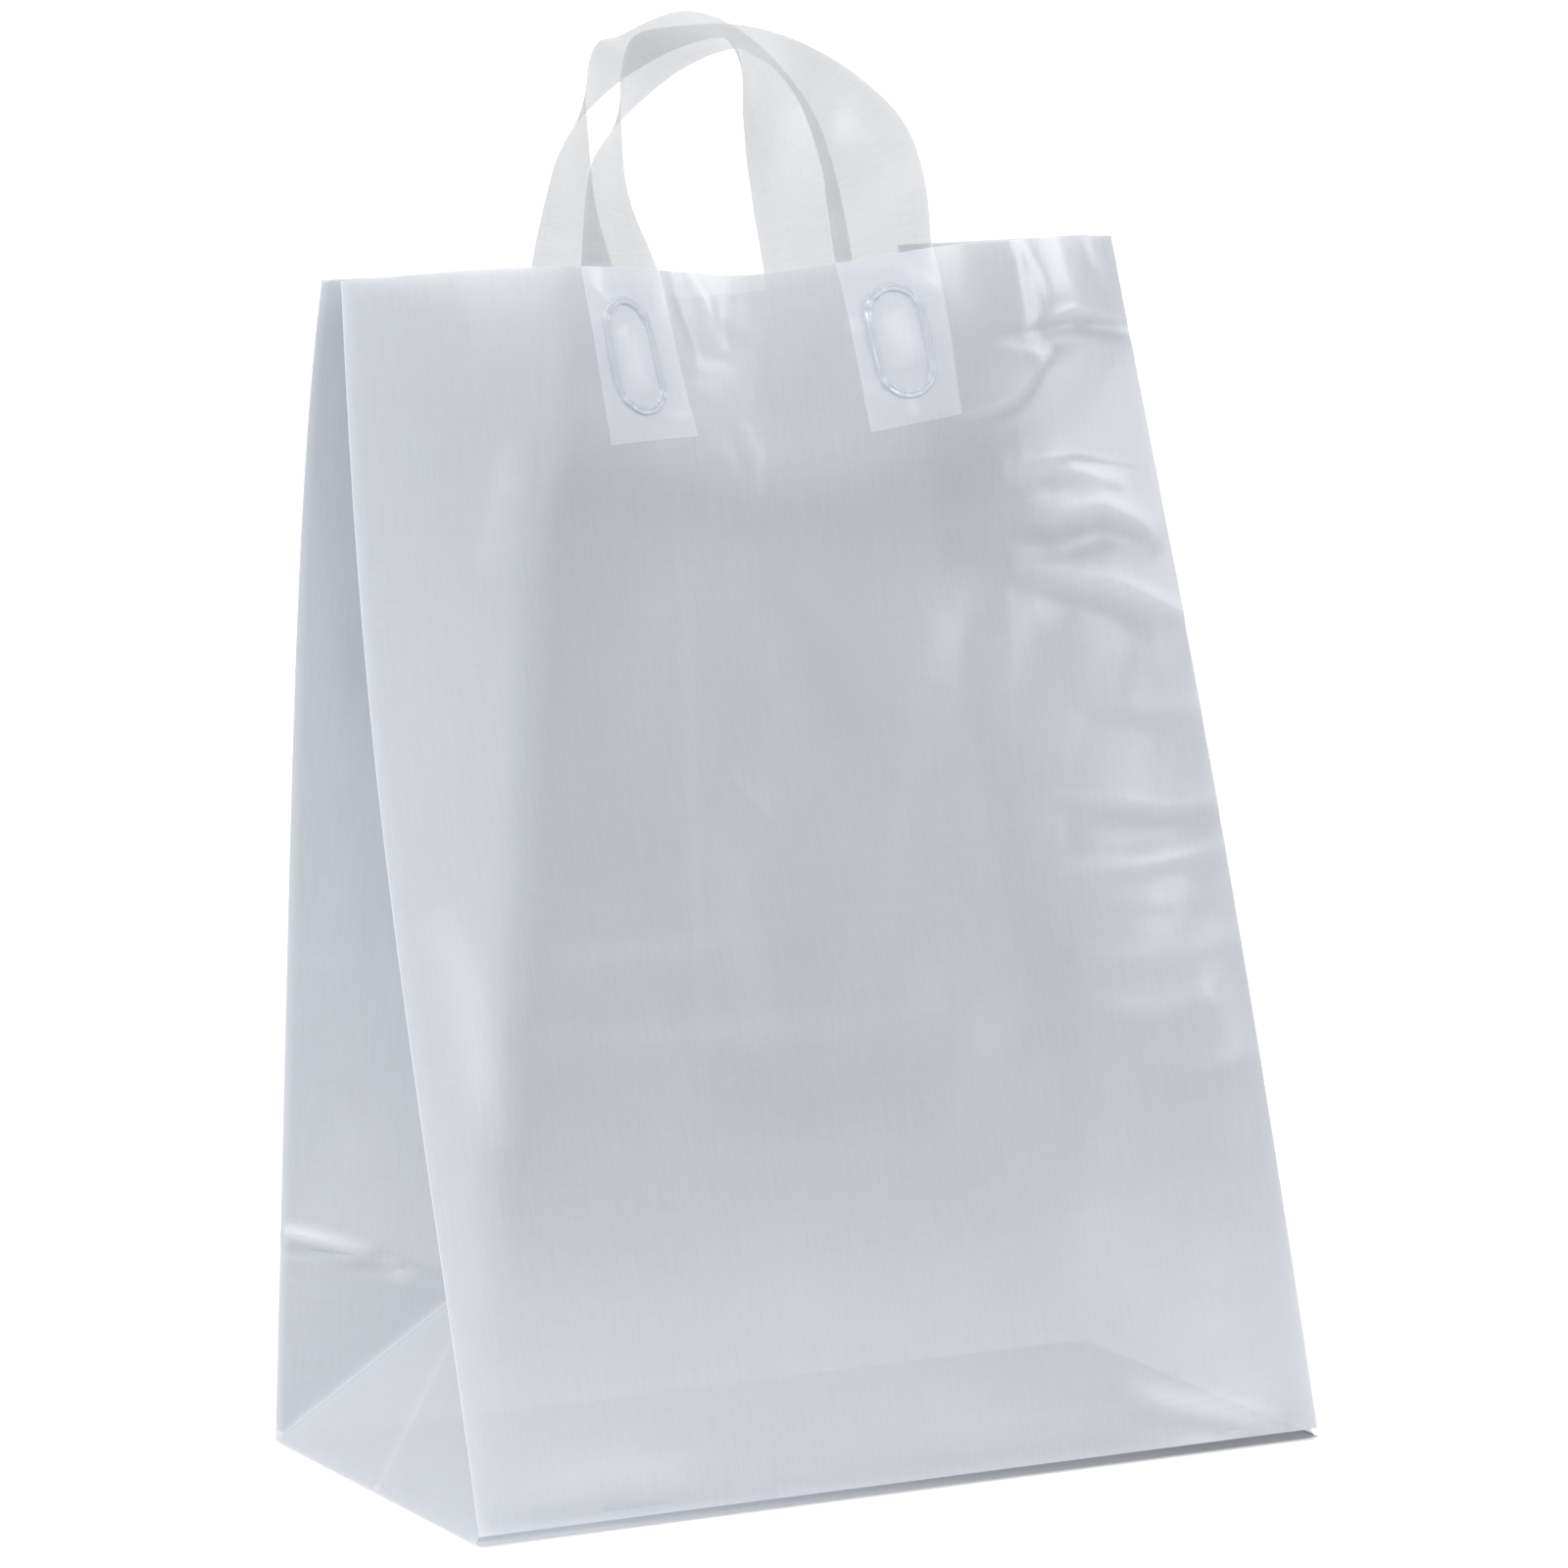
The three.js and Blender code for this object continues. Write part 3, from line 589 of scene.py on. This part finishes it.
def bag_tube(sheet, form):
    """The folded tube and its base. The tube's rows are rings of points that go round from the
    front panel's left edge: front panel, right gusset, rear panel, left gusset."""
    n = GUSSET_LINES
    foot = np.linspace(0, form.foot_top, n + 1)
    t = np.concatenate([foot, np.linspace(form.foot_top, 1, WALL_ROWS + 1)[1:]])[:, None]
    u_front = close_edges(FRONT_LINES, form.width)[None, :]
    u_rear = np.linspace(1, 0, REAR_LINES + 1)[None, :]
    v = np.linspace(0, 1, n + 1)[None, :]
    front_count = u_front.shape[1] - 1
    parts = [
        form.panel(True, u_front, t),
        form.gusset_half(1, True, v, t)[:, 1:],
        form.gusset_half(1, False, v[:, ::-1], t)[:, 1:],
        form.panel(False, u_rear, t)[:, 1:],
        form.gusset_half(-1, False, v, t)[:, 1:],
        form.gusset_half(-1, True, v[:, ::-1], t)[:, 1:-1],
    ]
    up = t * form.length
    x_front, x_rear = ((u - 0.5) * form.width + 0 * t for u in (u_front, u_rear))
    in_foot = ease(t, form.foot_top * 1.02, form.foot_top * 0.98)
    row = np.clip(t / form.foot_top, 0, 1)
    under = ease(v - row, -0.02, 0.02) * in_foot
    creased = np.abs(v - t / form.foot_top) * form.gusset / math.sqrt(2) + 30 * (1 - in_foot)
    sides = {}
    for side in (-1, 1):
        for front in (True, False):
            across = v * form.gusset + 0 * t
            # Painted light in the gussets, more in the part of a foot folded under
            pale = GUSSET_PALE + UNDER_PALE * under
            pale = pale + form.gusset_crease_highlights(side, front, across, up)
            middle = form.gusset - across + 0.35 * in_foot
            gap = np.minimum(np.minimum(across, middle), creased)
            # Each gusset half, and the rear panel below, has a stretch of grain to itself
            apart = 300 + 200 * side + 100 * front
            sides[side, front] = [pale, gap, across + apart]
    blocks = [
        [form.backing(True, x_front, up), form.width / 2 - np.abs(x_front), x_front],
        [m[:, 1:] for m in sides[1, True]],
        [m[:, ::-1][:, 1:] for m in sides[1, False]],
        [m[:, 1:] for m in (form.backing(False, x_rear, up), form.width / 2 - np.abs(x_rear),
                            x_rear + 1500)],
        [m[:, 1:] for m in sides[-1, False]],
        [m[:, ::-1][:, 1:-1] for m in sides[-1, True]],
    ]
    ring = np.concatenate(parts, axis=1)
    backing, fold, across = (np.concatenate([block[k] for block in blocks], axis=1)
                             for k in range(3))
    flap = np.full(fold.shape, -FAR)
    flap[:, :front_count + 1] = form.inside_flap(True, x_front, up)
    right, left = front_count, front_count + 2 * n + REAR_LINES
    flap[:, right + 2 * n:left + 1] = form.inside_flap(False, x_rear, up)
    fold = np.minimum(fold, np.minimum(up, form.length - up + 0.2))
    numbers = sheet.add(ring, fold, flap, backing, points(across, up + 0 * fold, 0 * fold))
    rows, around = numbers.shape
    col = np.arange(around)
    first = (col >= right) & (col < right + n) | (col >= left) & (col < left + n)
    second = (col >= right + n) & (col < right + 2 * n) | (col >= left + n)
    nxt = (col + 1) % around
    # A foot's cells are cut into triangles along its 45 degree crease
    for row in range(rows - 1):
        a, b, c, d = numbers[row], numbers[row][nxt], numbers[row + 1][nxt], numbers[row + 1]
        if row >= n:
            sheet.cells(np.stack([a, b, c, d], axis=1))
            continue
        sheet.cells(np.stack([a, b, c, d], axis=1)[~first & ~second])
        sheet.cells(np.vstack([np.stack([a, b, c], axis=1)[first],
                               np.stack([a, c, d], axis=1)[first],
                               np.stack([a, b, d], axis=1)[second],
                               np.stack([b, c, d], axis=1)[second]]))
    base_sheet(sheet, form)


def base_sheet(sheet, form):
    """The flat base under the tube, as wide rows between the front and rear edges."""
    n = GUSSET_LINES
    u = np.linspace(0, 1, REAR_LINES + 1)
    y = np.linspace(-form.depth / 2, form.depth / 2, 2 * n + 1)
    grid = points((u[None, :] - 0.5) * form.width, y[:, None], 0.0)
    seal = np.exp(-((y - SEAL_PLACE) / SEAL_WIDTH) ** 2)[:, None] * SEAL_HEIGHT
    grid[..., 2] += BASE_GAP + seal * np.sin(math.pi * u)[None, :] ** 0.2
    # The base carries painted light, as film lying on film
    sheet.quads(sheet.add(grid, backing=BASE_PALE), kind=2, flip=True)


BEAD_LINES = 8
BEAD_STEPS = 84
# A bead leans more than its flap, and stands to the left of the flap's middle
BEAD_LEAN, BEAD_SHIFT = 1.3, 2.5


def weld_bead(sheet, form, front, middle, seed):
    """An oval band of melted film, pressed a little out of the panel."""
    angle = np.linspace(0, math.tau, BEAD_STEPS + 1)[:-1][None, :]
    s = np.linspace(-1, 1, BEAD_LINES + 1)[:, None]
    rng = np.random.default_rng(seed)
    wobble = sum(rng.uniform(-0.35, 0.35) * np.sin(k * angle + rng.uniform(0, math.tau))
                 for k in (2, 3, 5, 8))
    band = form.bead_band * (1 + 0.12 * wobble)
    radius = form.bead_width / 2 - band / 2 + s * band / 2 + wobble * 0.3
    straight = (form.bead_height - form.bead_width) / 2
    x = radius * np.cos(angle)
    y = radius * np.sin(angle) + straight * np.tanh(6 * np.sin(angle))
    h = form.length - form.bead_drop + y
    lean = form.flap_slant / form.flap * (1 if front else -1)
    x = x + middle + (form.length - h) * lean * BEAD_LEAN - BEAD_SHIFT
    crown = 0.08 + 1.1 * np.sqrt(np.clip(1 - s ** 2, 0, 1)) - 0.5 * np.exp(-(s / 0.3) ** 2)
    lumps = sum(np.sin(k * angle + rng.uniform(0, math.tau)) for k in (7, 11, 17)) / 3
    rise = crown * (1 + 0.3 * wobble + 0.7 * lumps)
    grid = form.panel(front, 0.5 + x / form.width, h / form.length, out=rise)
    # The bead carries painted light that stands for its glints
    sheet.quads(sheet.add(grid, backing=BEAD_PALE, film_place=points(x, h, 0 * x)),
                kind=1, flip=not front, closed=True)


def make_bag_film(form, materials):
    """The tube and its base with the four weld beads, as one mesh."""
    sheet = Sheet()
    bag_tube(sheet, form)
    for seed, (front, side) in enumerate([(True, -1), (True, 1), (False, -1), (False, 1)]):
        weld_bead(sheet, form, front, side * form.legs / 2, 20 + seed)
    return sheet.mesh("bag_film", materials)


# Loop handles


# Stations of a loop's middle line from its left leg to its right: share of the way between the
# legs, how far back and up it is, and the strip's turn and tilt there in degrees
FRONT_ROUTE = [
    (-.03, 2, 30, 42, -13), (-.01, 2, 47, 55, 3), (.03, -1, 62, 71, 15), (.105, -6, 74, 87, 16),
    (.24, -15, 80, 92, 9), (.4, -12, 78, 84, 16), (.6, 2, 72, 68, 21), (.77, 13, 64, 50, 22),
    (.89, 16, 54, 30, 21), (.975, 11, 38, 4, 22), (1, 6, 20, -12, 19)]
REAR_ROUTE = [
    (.0, 1, 31, 37, -13), (.01, 1, 47, 47, -2), (.035, -2, 65, 61, 13), (.12, -8, 80, 81, 13),
    (.27, -11, 87, 98, 3), (.46, -9, 92, 98, 9), (.6, -1, 90, 86, 17), (.73, 6, 82, 66, 23),
    (.84, 9, 68, 40, 25), (.92, 7, 49, 16, 23), (.96, 3, 27, 6, 16)]
STRIP_LINES = 20
FLAP_ROWS = 34
LOOP_ROWS = 170
# Millimetres of film from one row to the next, near enough for its grain
ROW_STEP = 2.4


def flap_rows(form, front, middle):
    """A flap from its lower end to the mouth, just inside the panel. It leans to one side and
    its end is cut a little askew."""
    w = np.linspace(-1, 1, STRIP_LINES + 1)[None, :] * form.strip / 2
    share = np.linspace(0, 1, FLAP_ROWS + 1)[:, None]
    low = form.length - form.flap + w * form.flap_slant / form.flap * END_SLANT
    h = mix(low, form.length, share)
    x = middle + w + form.flap_lean(front, h)
    return form.panel(front, 0.5 + x / form.width, h / form.length, out=-FLAP_GAP)


def loop_rows(form, left, right, route):
    """The free part of a loop, from the end of its left flap to the end of its right one. It
    starts and ends with the flaps' own shape and takes up the route's turn and tilt."""
    start, end = left[-1], right[-1]
    low, high = start.mean(axis=0), end.mean(axis=0)
    across_low, across_high = unit(start[-1] - start[0]), unit(end[-1] - end[0])
    along, back, up, turn, tilt = np.array(route, float).T
    centres = mix(low, high, along[:, None]) + points(0 * back, back, up)
    turn, tilt = np.radians(turn), np.radians(tilt)
    lay = points(np.cos(turn) * np.cos(tilt), np.sin(turn) * np.cos(tilt), np.sin(tilt))
    share = np.linspace(0, 1, LOOP_ROWS + 1)[1:-1]
    centre = smooth_line(np.vstack([low, centres, high]), share)[:, None, :]
    width = unit(smooth_line(np.vstack([across_low, lay, across_high]), share))[:, None, :]
    w = np.linspace(-1, 1, STRIP_LINES + 1)[None, :, None] * form.strip / 2
    rows = centre + width * w
    flat = w[0]
    rows = rows + (start - low - across_low * flat) * ease(share, .12, 0)[:, None, None]
    return rows + (end - high - across_high * flat) * ease(share, .88, 1)[:, None, None]


def make_loop(form, front, name, route, materials):
    """One strip of film: left flap, loop and right flap."""
    left = flap_rows(form, front, -form.legs / 2)
    right = flap_rows(form, front, form.legs / 2)
    grid = np.concatenate([left, loop_rows(form, left, right, route), right[::-1]])
    count = len(grid)
    w = np.linspace(-1, 1, STRIP_LINES + 1)[None, :] * form.strip / 2
    along = np.arange(count)[:, None] * ROW_STEP
    ends = np.minimum(np.arange(count), np.arange(count)[::-1])[:, None]
    sheet = Sheet()
    # The flaps carry painted light, as where panel film lies close behind
    sheet.quads(sheet.add(grid, fold=form.strip / 2 - np.abs(w) + 0 * along,
                          backing=FLAP_END_PALE * (ends < FLAP_ROWS) + 0 * w,
                          film_place=points(along + 0 * w, w + 0 * along, 0 * along * w)),
                flip=not front)
    return sheet.mesh(name, materials)


# Materials


WHITE = (1.0, 1.0, 1.0, 1.0)
# Colour of the painted highlight on folds and strip edges
FOLD_HIGHLIGHT = (0.95, 0.96, 0.98, 1.0)
# Colour of the painted contact shadow at the foot
FOOT_SHADOW = (0.07, 0.075, 0.085, 1.0)
MELTED_ROUGHNESS = 0.12
FILM_COAT, MELTED_COAT, LOOP_COAT = 0.34, 0.9, 0.06
BASE_CLEARNESS, BASE_SOAK = 0.02, 0.08
# How fast each mark's effect falls off, for a millimetre away from the mark's line
FOLD_FALL, BESIDE_FALL, FLAP_FALL, OUTLINE_FALL = 1.7, 0.14, 2.5, 9.0
# How fast the painted contact shadow at the foot falls off going up, and how it grows to the
# right, in metres
FOOT_SHADOW_FALL, FOOT_SHADOW_GROWTH = 1700.0, 3.2
# How much each mark, and each size of the film's grain, makes the film paler; over a flap this is
# painted light, along its outline a painted highlight, while the grain is the film's own
FLAP_PALE, OUTLINE_PALE, BESIDE_PALE = 0.70, 0.35, 0.25
DRAWN_PALE, ACROSS_PALE, SOFT_PALE, FROST_PALE = 0.34, 0.14, 0.16, 0.30


class Signal:
    """A node's output that can stand in plain arithmetic, each step adding its Math node."""

    def __init__(self, tree, socket):
        self.tree, self.socket = tree, socket

    @classmethod
    def make(cls, tree, kind, settings=None, sockets=None, output=0):
        """Any node: its type, its settings, and the values or signals of its sockets."""
        node = tree.nodes.new(kind)
        for key, value in (settings or {}).items():
            setattr(node, key, value)
        for key, value in (sockets or {}).items():
            if isinstance(value, Signal):
                tree.links.new(value.socket, node.inputs[key])
            else:
                node.inputs[key].default_value = value
        return cls(tree, node.outputs[output])

    def _math(self, operation, left, right):
        return Signal.make(self.tree, "ShaderNodeMath", {"operation": operation},
                           {0: left, 1: right})

    def __add__(self, other):
        return self._math("ADD", self, other)

    def __sub__(self, other):
        return self._math("SUBTRACT", self, other)

    def __rsub__(self, other):
        return self._math("SUBTRACT", other, self)

    def __mul__(self, other):
        return self._math("MULTIPLY", self, other)

    def larger(self, other):
        return self._math("MAXIMUM", self, other)

    def smaller(self, other):
        return self._math("MINIMUM", self, other)

    __radd__, __rmul__ = __add__, __mul__


def node_adder(tree):
    """A short way to add nodes to one tree."""

    def node(kind, settings=None, sockets=None, output=0):
        return Signal.make(tree, kind, settings, sockets, output)

    return node


def cleared_tree(owner):
    """The emptied node tree of a material or a world."""
    owner.use_nodes = True
    owner.node_tree.nodes.clear()
    return owner.node_tree


def set_surface(tree, signal, kind="ShaderNodeOutputMaterial"):
    out = tree.nodes.new(kind)
    tree.links.new(signal.socket, out.inputs["Surface"])


def film_material(look, name, tint, clearness, soak, coat, melted=False):
    """Frosted film. Part of what is behind shows through, part of the light is scattered back
    and part soaks through. Its colour has painted light in it: a painted highlight on a fold and
    along a strip's edge, together with the fold's whitening, paler beside folds, painted light
    over a flap and where more film lies behind it, a painted highlight on a flap's outline, and a
    painted contact shadow along a narrow rim where it meets the floor."""
    material = bpy.data.materials.new(name)
    tree = cleared_tree(material)
    node = node_adder(tree)

    def mark(label, output="Fac"):
        return node("ShaderNodeAttribute", {"attribute_name": label}, None, output)

    def noise(vector, scale, detail):
        return node("ShaderNodeTexNoise", None, {
            "Vector": vector, "Scale": scale, "Detail": detail, "Roughness": 0.6}, "Fac") - 0.5

    def stretched(x, y):
        return node("ShaderNodeVectorMath", {"operation": "MULTIPLY"}, {
            0: mark("film_place", "Vector"), 1: (x, y, 1.0)})

    def part(vector, axis):
        return node("ShaderNodeSeparateXYZ", None, {"Vector": vector}, axis)

    def blend(share, first, second, **settings):
        return node("ShaderNodeMix", {"data_type": "RGBA", **settings}, {
            "Factor": share, 6: first, 7: second}, 2)

    # The grain, in cycles a millimetre: lines drawn up the film, bands across it and soft
    # clouds, and then the fine frost, in cycles a metre
    where = node("ShaderNodeTexCoord", output="Object")
    drawn = noise(stretched(0.9, 0.05), 1.0, 3.0)
    across = noise(stretched(0.03, 0.5), 1.0, 2.0)
    soft = noise(stretched(0.030, 0.012), 1.0, 1.0)
    frost = noise(where, 1500.0, 2.0)

    fold, flap = mark("fold"), mark("flap")
    edge = (1 - fold * FOLD_FALL).larger(0.0)
    beside = (1 - fold * BESIDE_FALL).larger(0.0)
    # Over a flap the film carries painted light, and along the flap's outline a painted highlight
    patch = (flap * FLAP_FALL + 0.5).larger(0.0).smaller(1.0)
    outline = (1 - (flap * flap) * OUTLINE_FALL).larger(0.0)
    # The mark read first carries painted light and painted shade; the noise terms are the film's
    # own grain
    paler = (mark("backing") + patch * FLAP_PALE + outline * OUTLINE_PALE
             + beside * beside * BESIDE_PALE + drawn * DRAWN_PALE + across * ACROSS_PALE
             + soft * SOFT_PALE + frost * FROST_PALE)
    paler = (paler + 0.06).larger(0.0)
    pale = blend(paler * 0.80, (*tint, 1.0), (*look.pale_and_painted_light_tint, 1.0), clamp_factor=False)
    # Painted highlight along folds and strip edges, together with the fold's whitening
    pale = blend(edge * 0.85, pale, FOLD_HIGHLIGHT)
    # Painted contact shadow along the foot where the film meets the floor, deeper toward the
    # right
    foot = (1 - part(where, "Z") * FOOT_SHADOW_FALL).larger(0.0)
    foot_shadow_depth = (part(where, "X") * FOOT_SHADOW_GROWTH + 0.40).larger(0.0).smaller(0.8)
    pale = blend(foot * foot_shadow_depth, pale, FOOT_SHADOW)

    bumps = node("ShaderNodeBump", None, {
        "Strength": 0.25, "Distance": 0.00012, "Height": frost * 0.5 + drawn + across * 0.6})
    matt = MELTED_ROUGHNESS if melted else look.roughness
    film = node("ShaderNodeBsdfPrincipled", None, {
        "Base Color": pale, "Roughness": soft * 0.06 + matt, "IOR": 1.5,
        "Coat Weight": coat, "Coat Roughness": 0.07 if melted else 0.15, "Normal": bumps})
    soaked = node("ShaderNodeBsdfTranslucent", None, {"Color": pale})
    clear = node("ShaderNodeBsdfTransparent")
    body = node("ShaderNodeMixShader", None, {"Fac": soak, 1: film, 2: soaked})
    set_surface(tree, node("ShaderNodeMixShader", None, {
        "Fac": (1 - edge) * (soft * 0.04 + clearness), 1: body, 2: clear}))
    return material


def seen_directly(tree):
    """1 for the rays that show the stage itself, straight or in a reflection."""
    path = tree.nodes.new("ShaderNodeLightPath")
    camera, glossy, through = (
        Signal(tree, path.outputs[name])
        for name in ("Is Camera Ray", "Is Glossy Ray", "Is Transmission Ray"))
    return camera.larger(glossy).larger(through)


def floor_material(look):
    """Pale floor, lit as usual, with a share of plain white where the camera looks at it."""
    material = bpy.data.materials.new("pale_floor")
    tree = cleared_tree(material)
    node = node_adder(tree)
    dull = node("ShaderNodeBsdfDiffuse", None, {"Color": (*look.floor, 1.0)})
    pale = node("ShaderNodeBsdfDiffuse", None, {"Color": WHITE})
    lit = node("ShaderNodeMixShader", None, {"Fac": seen_directly(tree), 1: dull, 2: pale})
    white = node("ShaderNodeEmission", None, {
        "Color": WHITE, "Strength": seen_directly(tree) * look.floor_white})
    set_surface(tree, node("ShaderNodeAddShader", None, {0: lit, 1: white}))
    return material


# Stage


FLOOR_HALF, FLOOR_DROP = 60.0, 0.0010
# Each lamp: its name, which way it stands from the bag, its level and its spread in degrees
LAMPS = [
    ("front_key", (-0.35, -0.75, 0.56), "front_level", 50),
    ("right_lamp", (0.695, -0.573, 0.436), "right_level", 26),
    ("left_lamp", (-0.90, -0.10, 0.42), "left_level", 60),
    ("rear_lamp", (0.35, 0.85, 0.40), "rear_level", 60),
]


def soft_lamp(name, toward, level, spread):
    """A far, broad lamp. level is how bright it makes a white face turned to it."""
    data = bpy.data.lights.new(name, "SUN")
    data.energy, data.angle = level * math.pi, math.radians(spread)
    lamp = bpy.data.objects.new(name, data)
    lamp.rotation_euler = (-Vector(toward)).to_track_quat("-Z", "Y").to_euler()
    bpy.context.scene.collection.objects.link(lamp)


def make_stage(look):
    data = bpy.data.meshes.new("floor")
    corners = [(-1, -1), (1, -1), (1, 1), (-1, 1)]
    data.from_pydata([(x * FLOOR_HALF, y * FLOOR_HALF, 0) for x, y in corners], [],
                     [(0, 1, 2, 3)])
    data.materials.append(floor_material(look))
    floor = bpy.data.objects.new("floor", data)
    floor.location.z = -FLOOR_DROP
    bpy.context.scene.collection.objects.link(floor)

    world = bpy.data.worlds.new("soft_white_room")
    tree = cleared_tree(world)
    node = node_adder(tree)
    light = node("ShaderNodeBackground", None, {"Color": WHITE, "Strength": look.world})
    white = node("ShaderNodeBackground", None, {"Color": WHITE, "Strength": 1.0})
    both = node("ShaderNodeMixShader", None, {"Fac": seen_directly(tree), 1: light, 2: white})
    set_surface(tree, both, "ShaderNodeOutputWorld")
    bpy.context.scene.world = world

    for name, toward, level, spread in LAMPS:
        soft_lamp(name, toward, getattr(look, level), spread)

    data = bpy.data.cameras.new("camera")
    data.sensor_width, data.lens = 36.0, look.lens
    data.clip_start, data.clip_end = 0.05, 30.0
    camera = bpy.data.objects.new("camera", data)
    camera.location = look.camera_place
    camera.rotation_euler = (math.pi / 2 - look.camera_dip, 0.0, -look.camera_turn)
    bpy.context.scene.collection.objects.link(camera)
    bpy.context.scene.camera = camera
    bpy.context.scene.view_settings.view_transform = "Standard"


# Operators, one for each piece or group of like pieces


class CARRIERBAG_OT_bag_film(bpy.types.Operator):
    """Make the folded film tube with its gussets, base and weld beads"""

    bl_idname = "carrierbag.bag_film"
    bl_label = "Bag film"

    def execute(self, context):
        scene = context.scene
        look = scene.bag_finish
        form = BagForm(scene.bag_sizes, scene.loop_sizes)
        made = make_bag_film(form, [
            film_material(look, "frosted_film", look.tint, look.clearness, look.soak,
                          FILM_COAT),
            film_material(look, "melted_film", look.tint, look.clearness, look.soak,
                          MELTED_COAT, melted=True),
            film_material(look, "folded_base_film", look.tint, BASE_CLEARNESS, BASE_SOAK,
                          0.0)])
        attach(made, "root")
        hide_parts("bag_body")
        return {"FINISHED"}


class CARRIERBAG_OT_loops(bpy.types.Operator):
    """Make the two soft loops with the flaps that are welded inside the panels"""

    bl_idname = "carrierbag.loops"
    bl_label = "Soft loops"

    def execute(self, context):
        scene = context.scene
        form = BagForm(scene.bag_sizes, scene.loop_sizes)
        look = scene.bag_finish
        film = film_material(look, "loop_film", look.loop_tint, look.loop_clearness,
                             look.soak, LOOP_COAT)
        for front, name, node, route in (
                (True, "front_loop", "front_loop_handle", FRONT_ROUTE),
                (False, "rear_loop", "rear_loop_handle", REAR_ROUTE)):
            made = make_loop(form, front, name, route, [film])
            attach(made, "root")
            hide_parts(node)
        return {"FINISHED"}


class CARRIERBAG_OT_stage(bpy.types.Operator):
    """Make the floor, the soft lamps and the camera"""

    bl_idname = "carrierbag.stage"
    bl_label = "Stage"

    def execute(self, context):
        make_stage(context.scene.stage_look)
        return {"FINISHED"}


class CARRIERBAG_PT_panel(bpy.types.Panel):
    """Lists the pieces, their sizes and their finish"""

    bl_idname = "CARRIERBAG_PT_panel"
    bl_label = "Carrier bag"
    bl_space_type = "VIEW_3D"
    bl_region_type = "UI"
    bl_category = "Carrier bag"

    def draw(self, context):
        layout, scene = self.layout, context.scene
        for group in (scene.bag_sizes, scene.loop_sizes, scene.bag_finish, scene.stage_look):
            box = layout.box()
            for name in group.bl_rna.properties.keys():
                if name not in ("rna_type", "name"):
                    box.prop(group, name)
        for operator in PIECES:
            layout.operator(operator.bl_idname)


GROUPS = {"bag_sizes": BagSizes, "loop_sizes": LoopSizes, "bag_finish": FilmFinish,
          "stage_look": StageLook}
PIECES = (CARRIERBAG_OT_stage, CARRIERBAG_OT_bag_film, CARRIERBAG_OT_loops)


def register():
    for kind in (*GROUPS.values(), *PIECES, CARRIERBAG_PT_panel):
        bpy.utils.register_class(kind)
    for name, kind in GROUPS.items():
        setattr(bpy.types.Scene, name, bpy.props.PointerProperty(type=kind))


def unregister():
    for name in GROUPS:
        delattr(bpy.types.Scene, name)
    for kind in reversed((*GROUPS.values(), *PIECES, CARRIERBAG_PT_panel)):
        bpy.utils.unregister_class(kind)


def main():
    register()
    bpy.ops.carrierbag.stage()
    bpy.ops.carrierbag.bag_film()
    bpy.ops.carrierbag.loops()


if __name__ == "__main__":
    main()
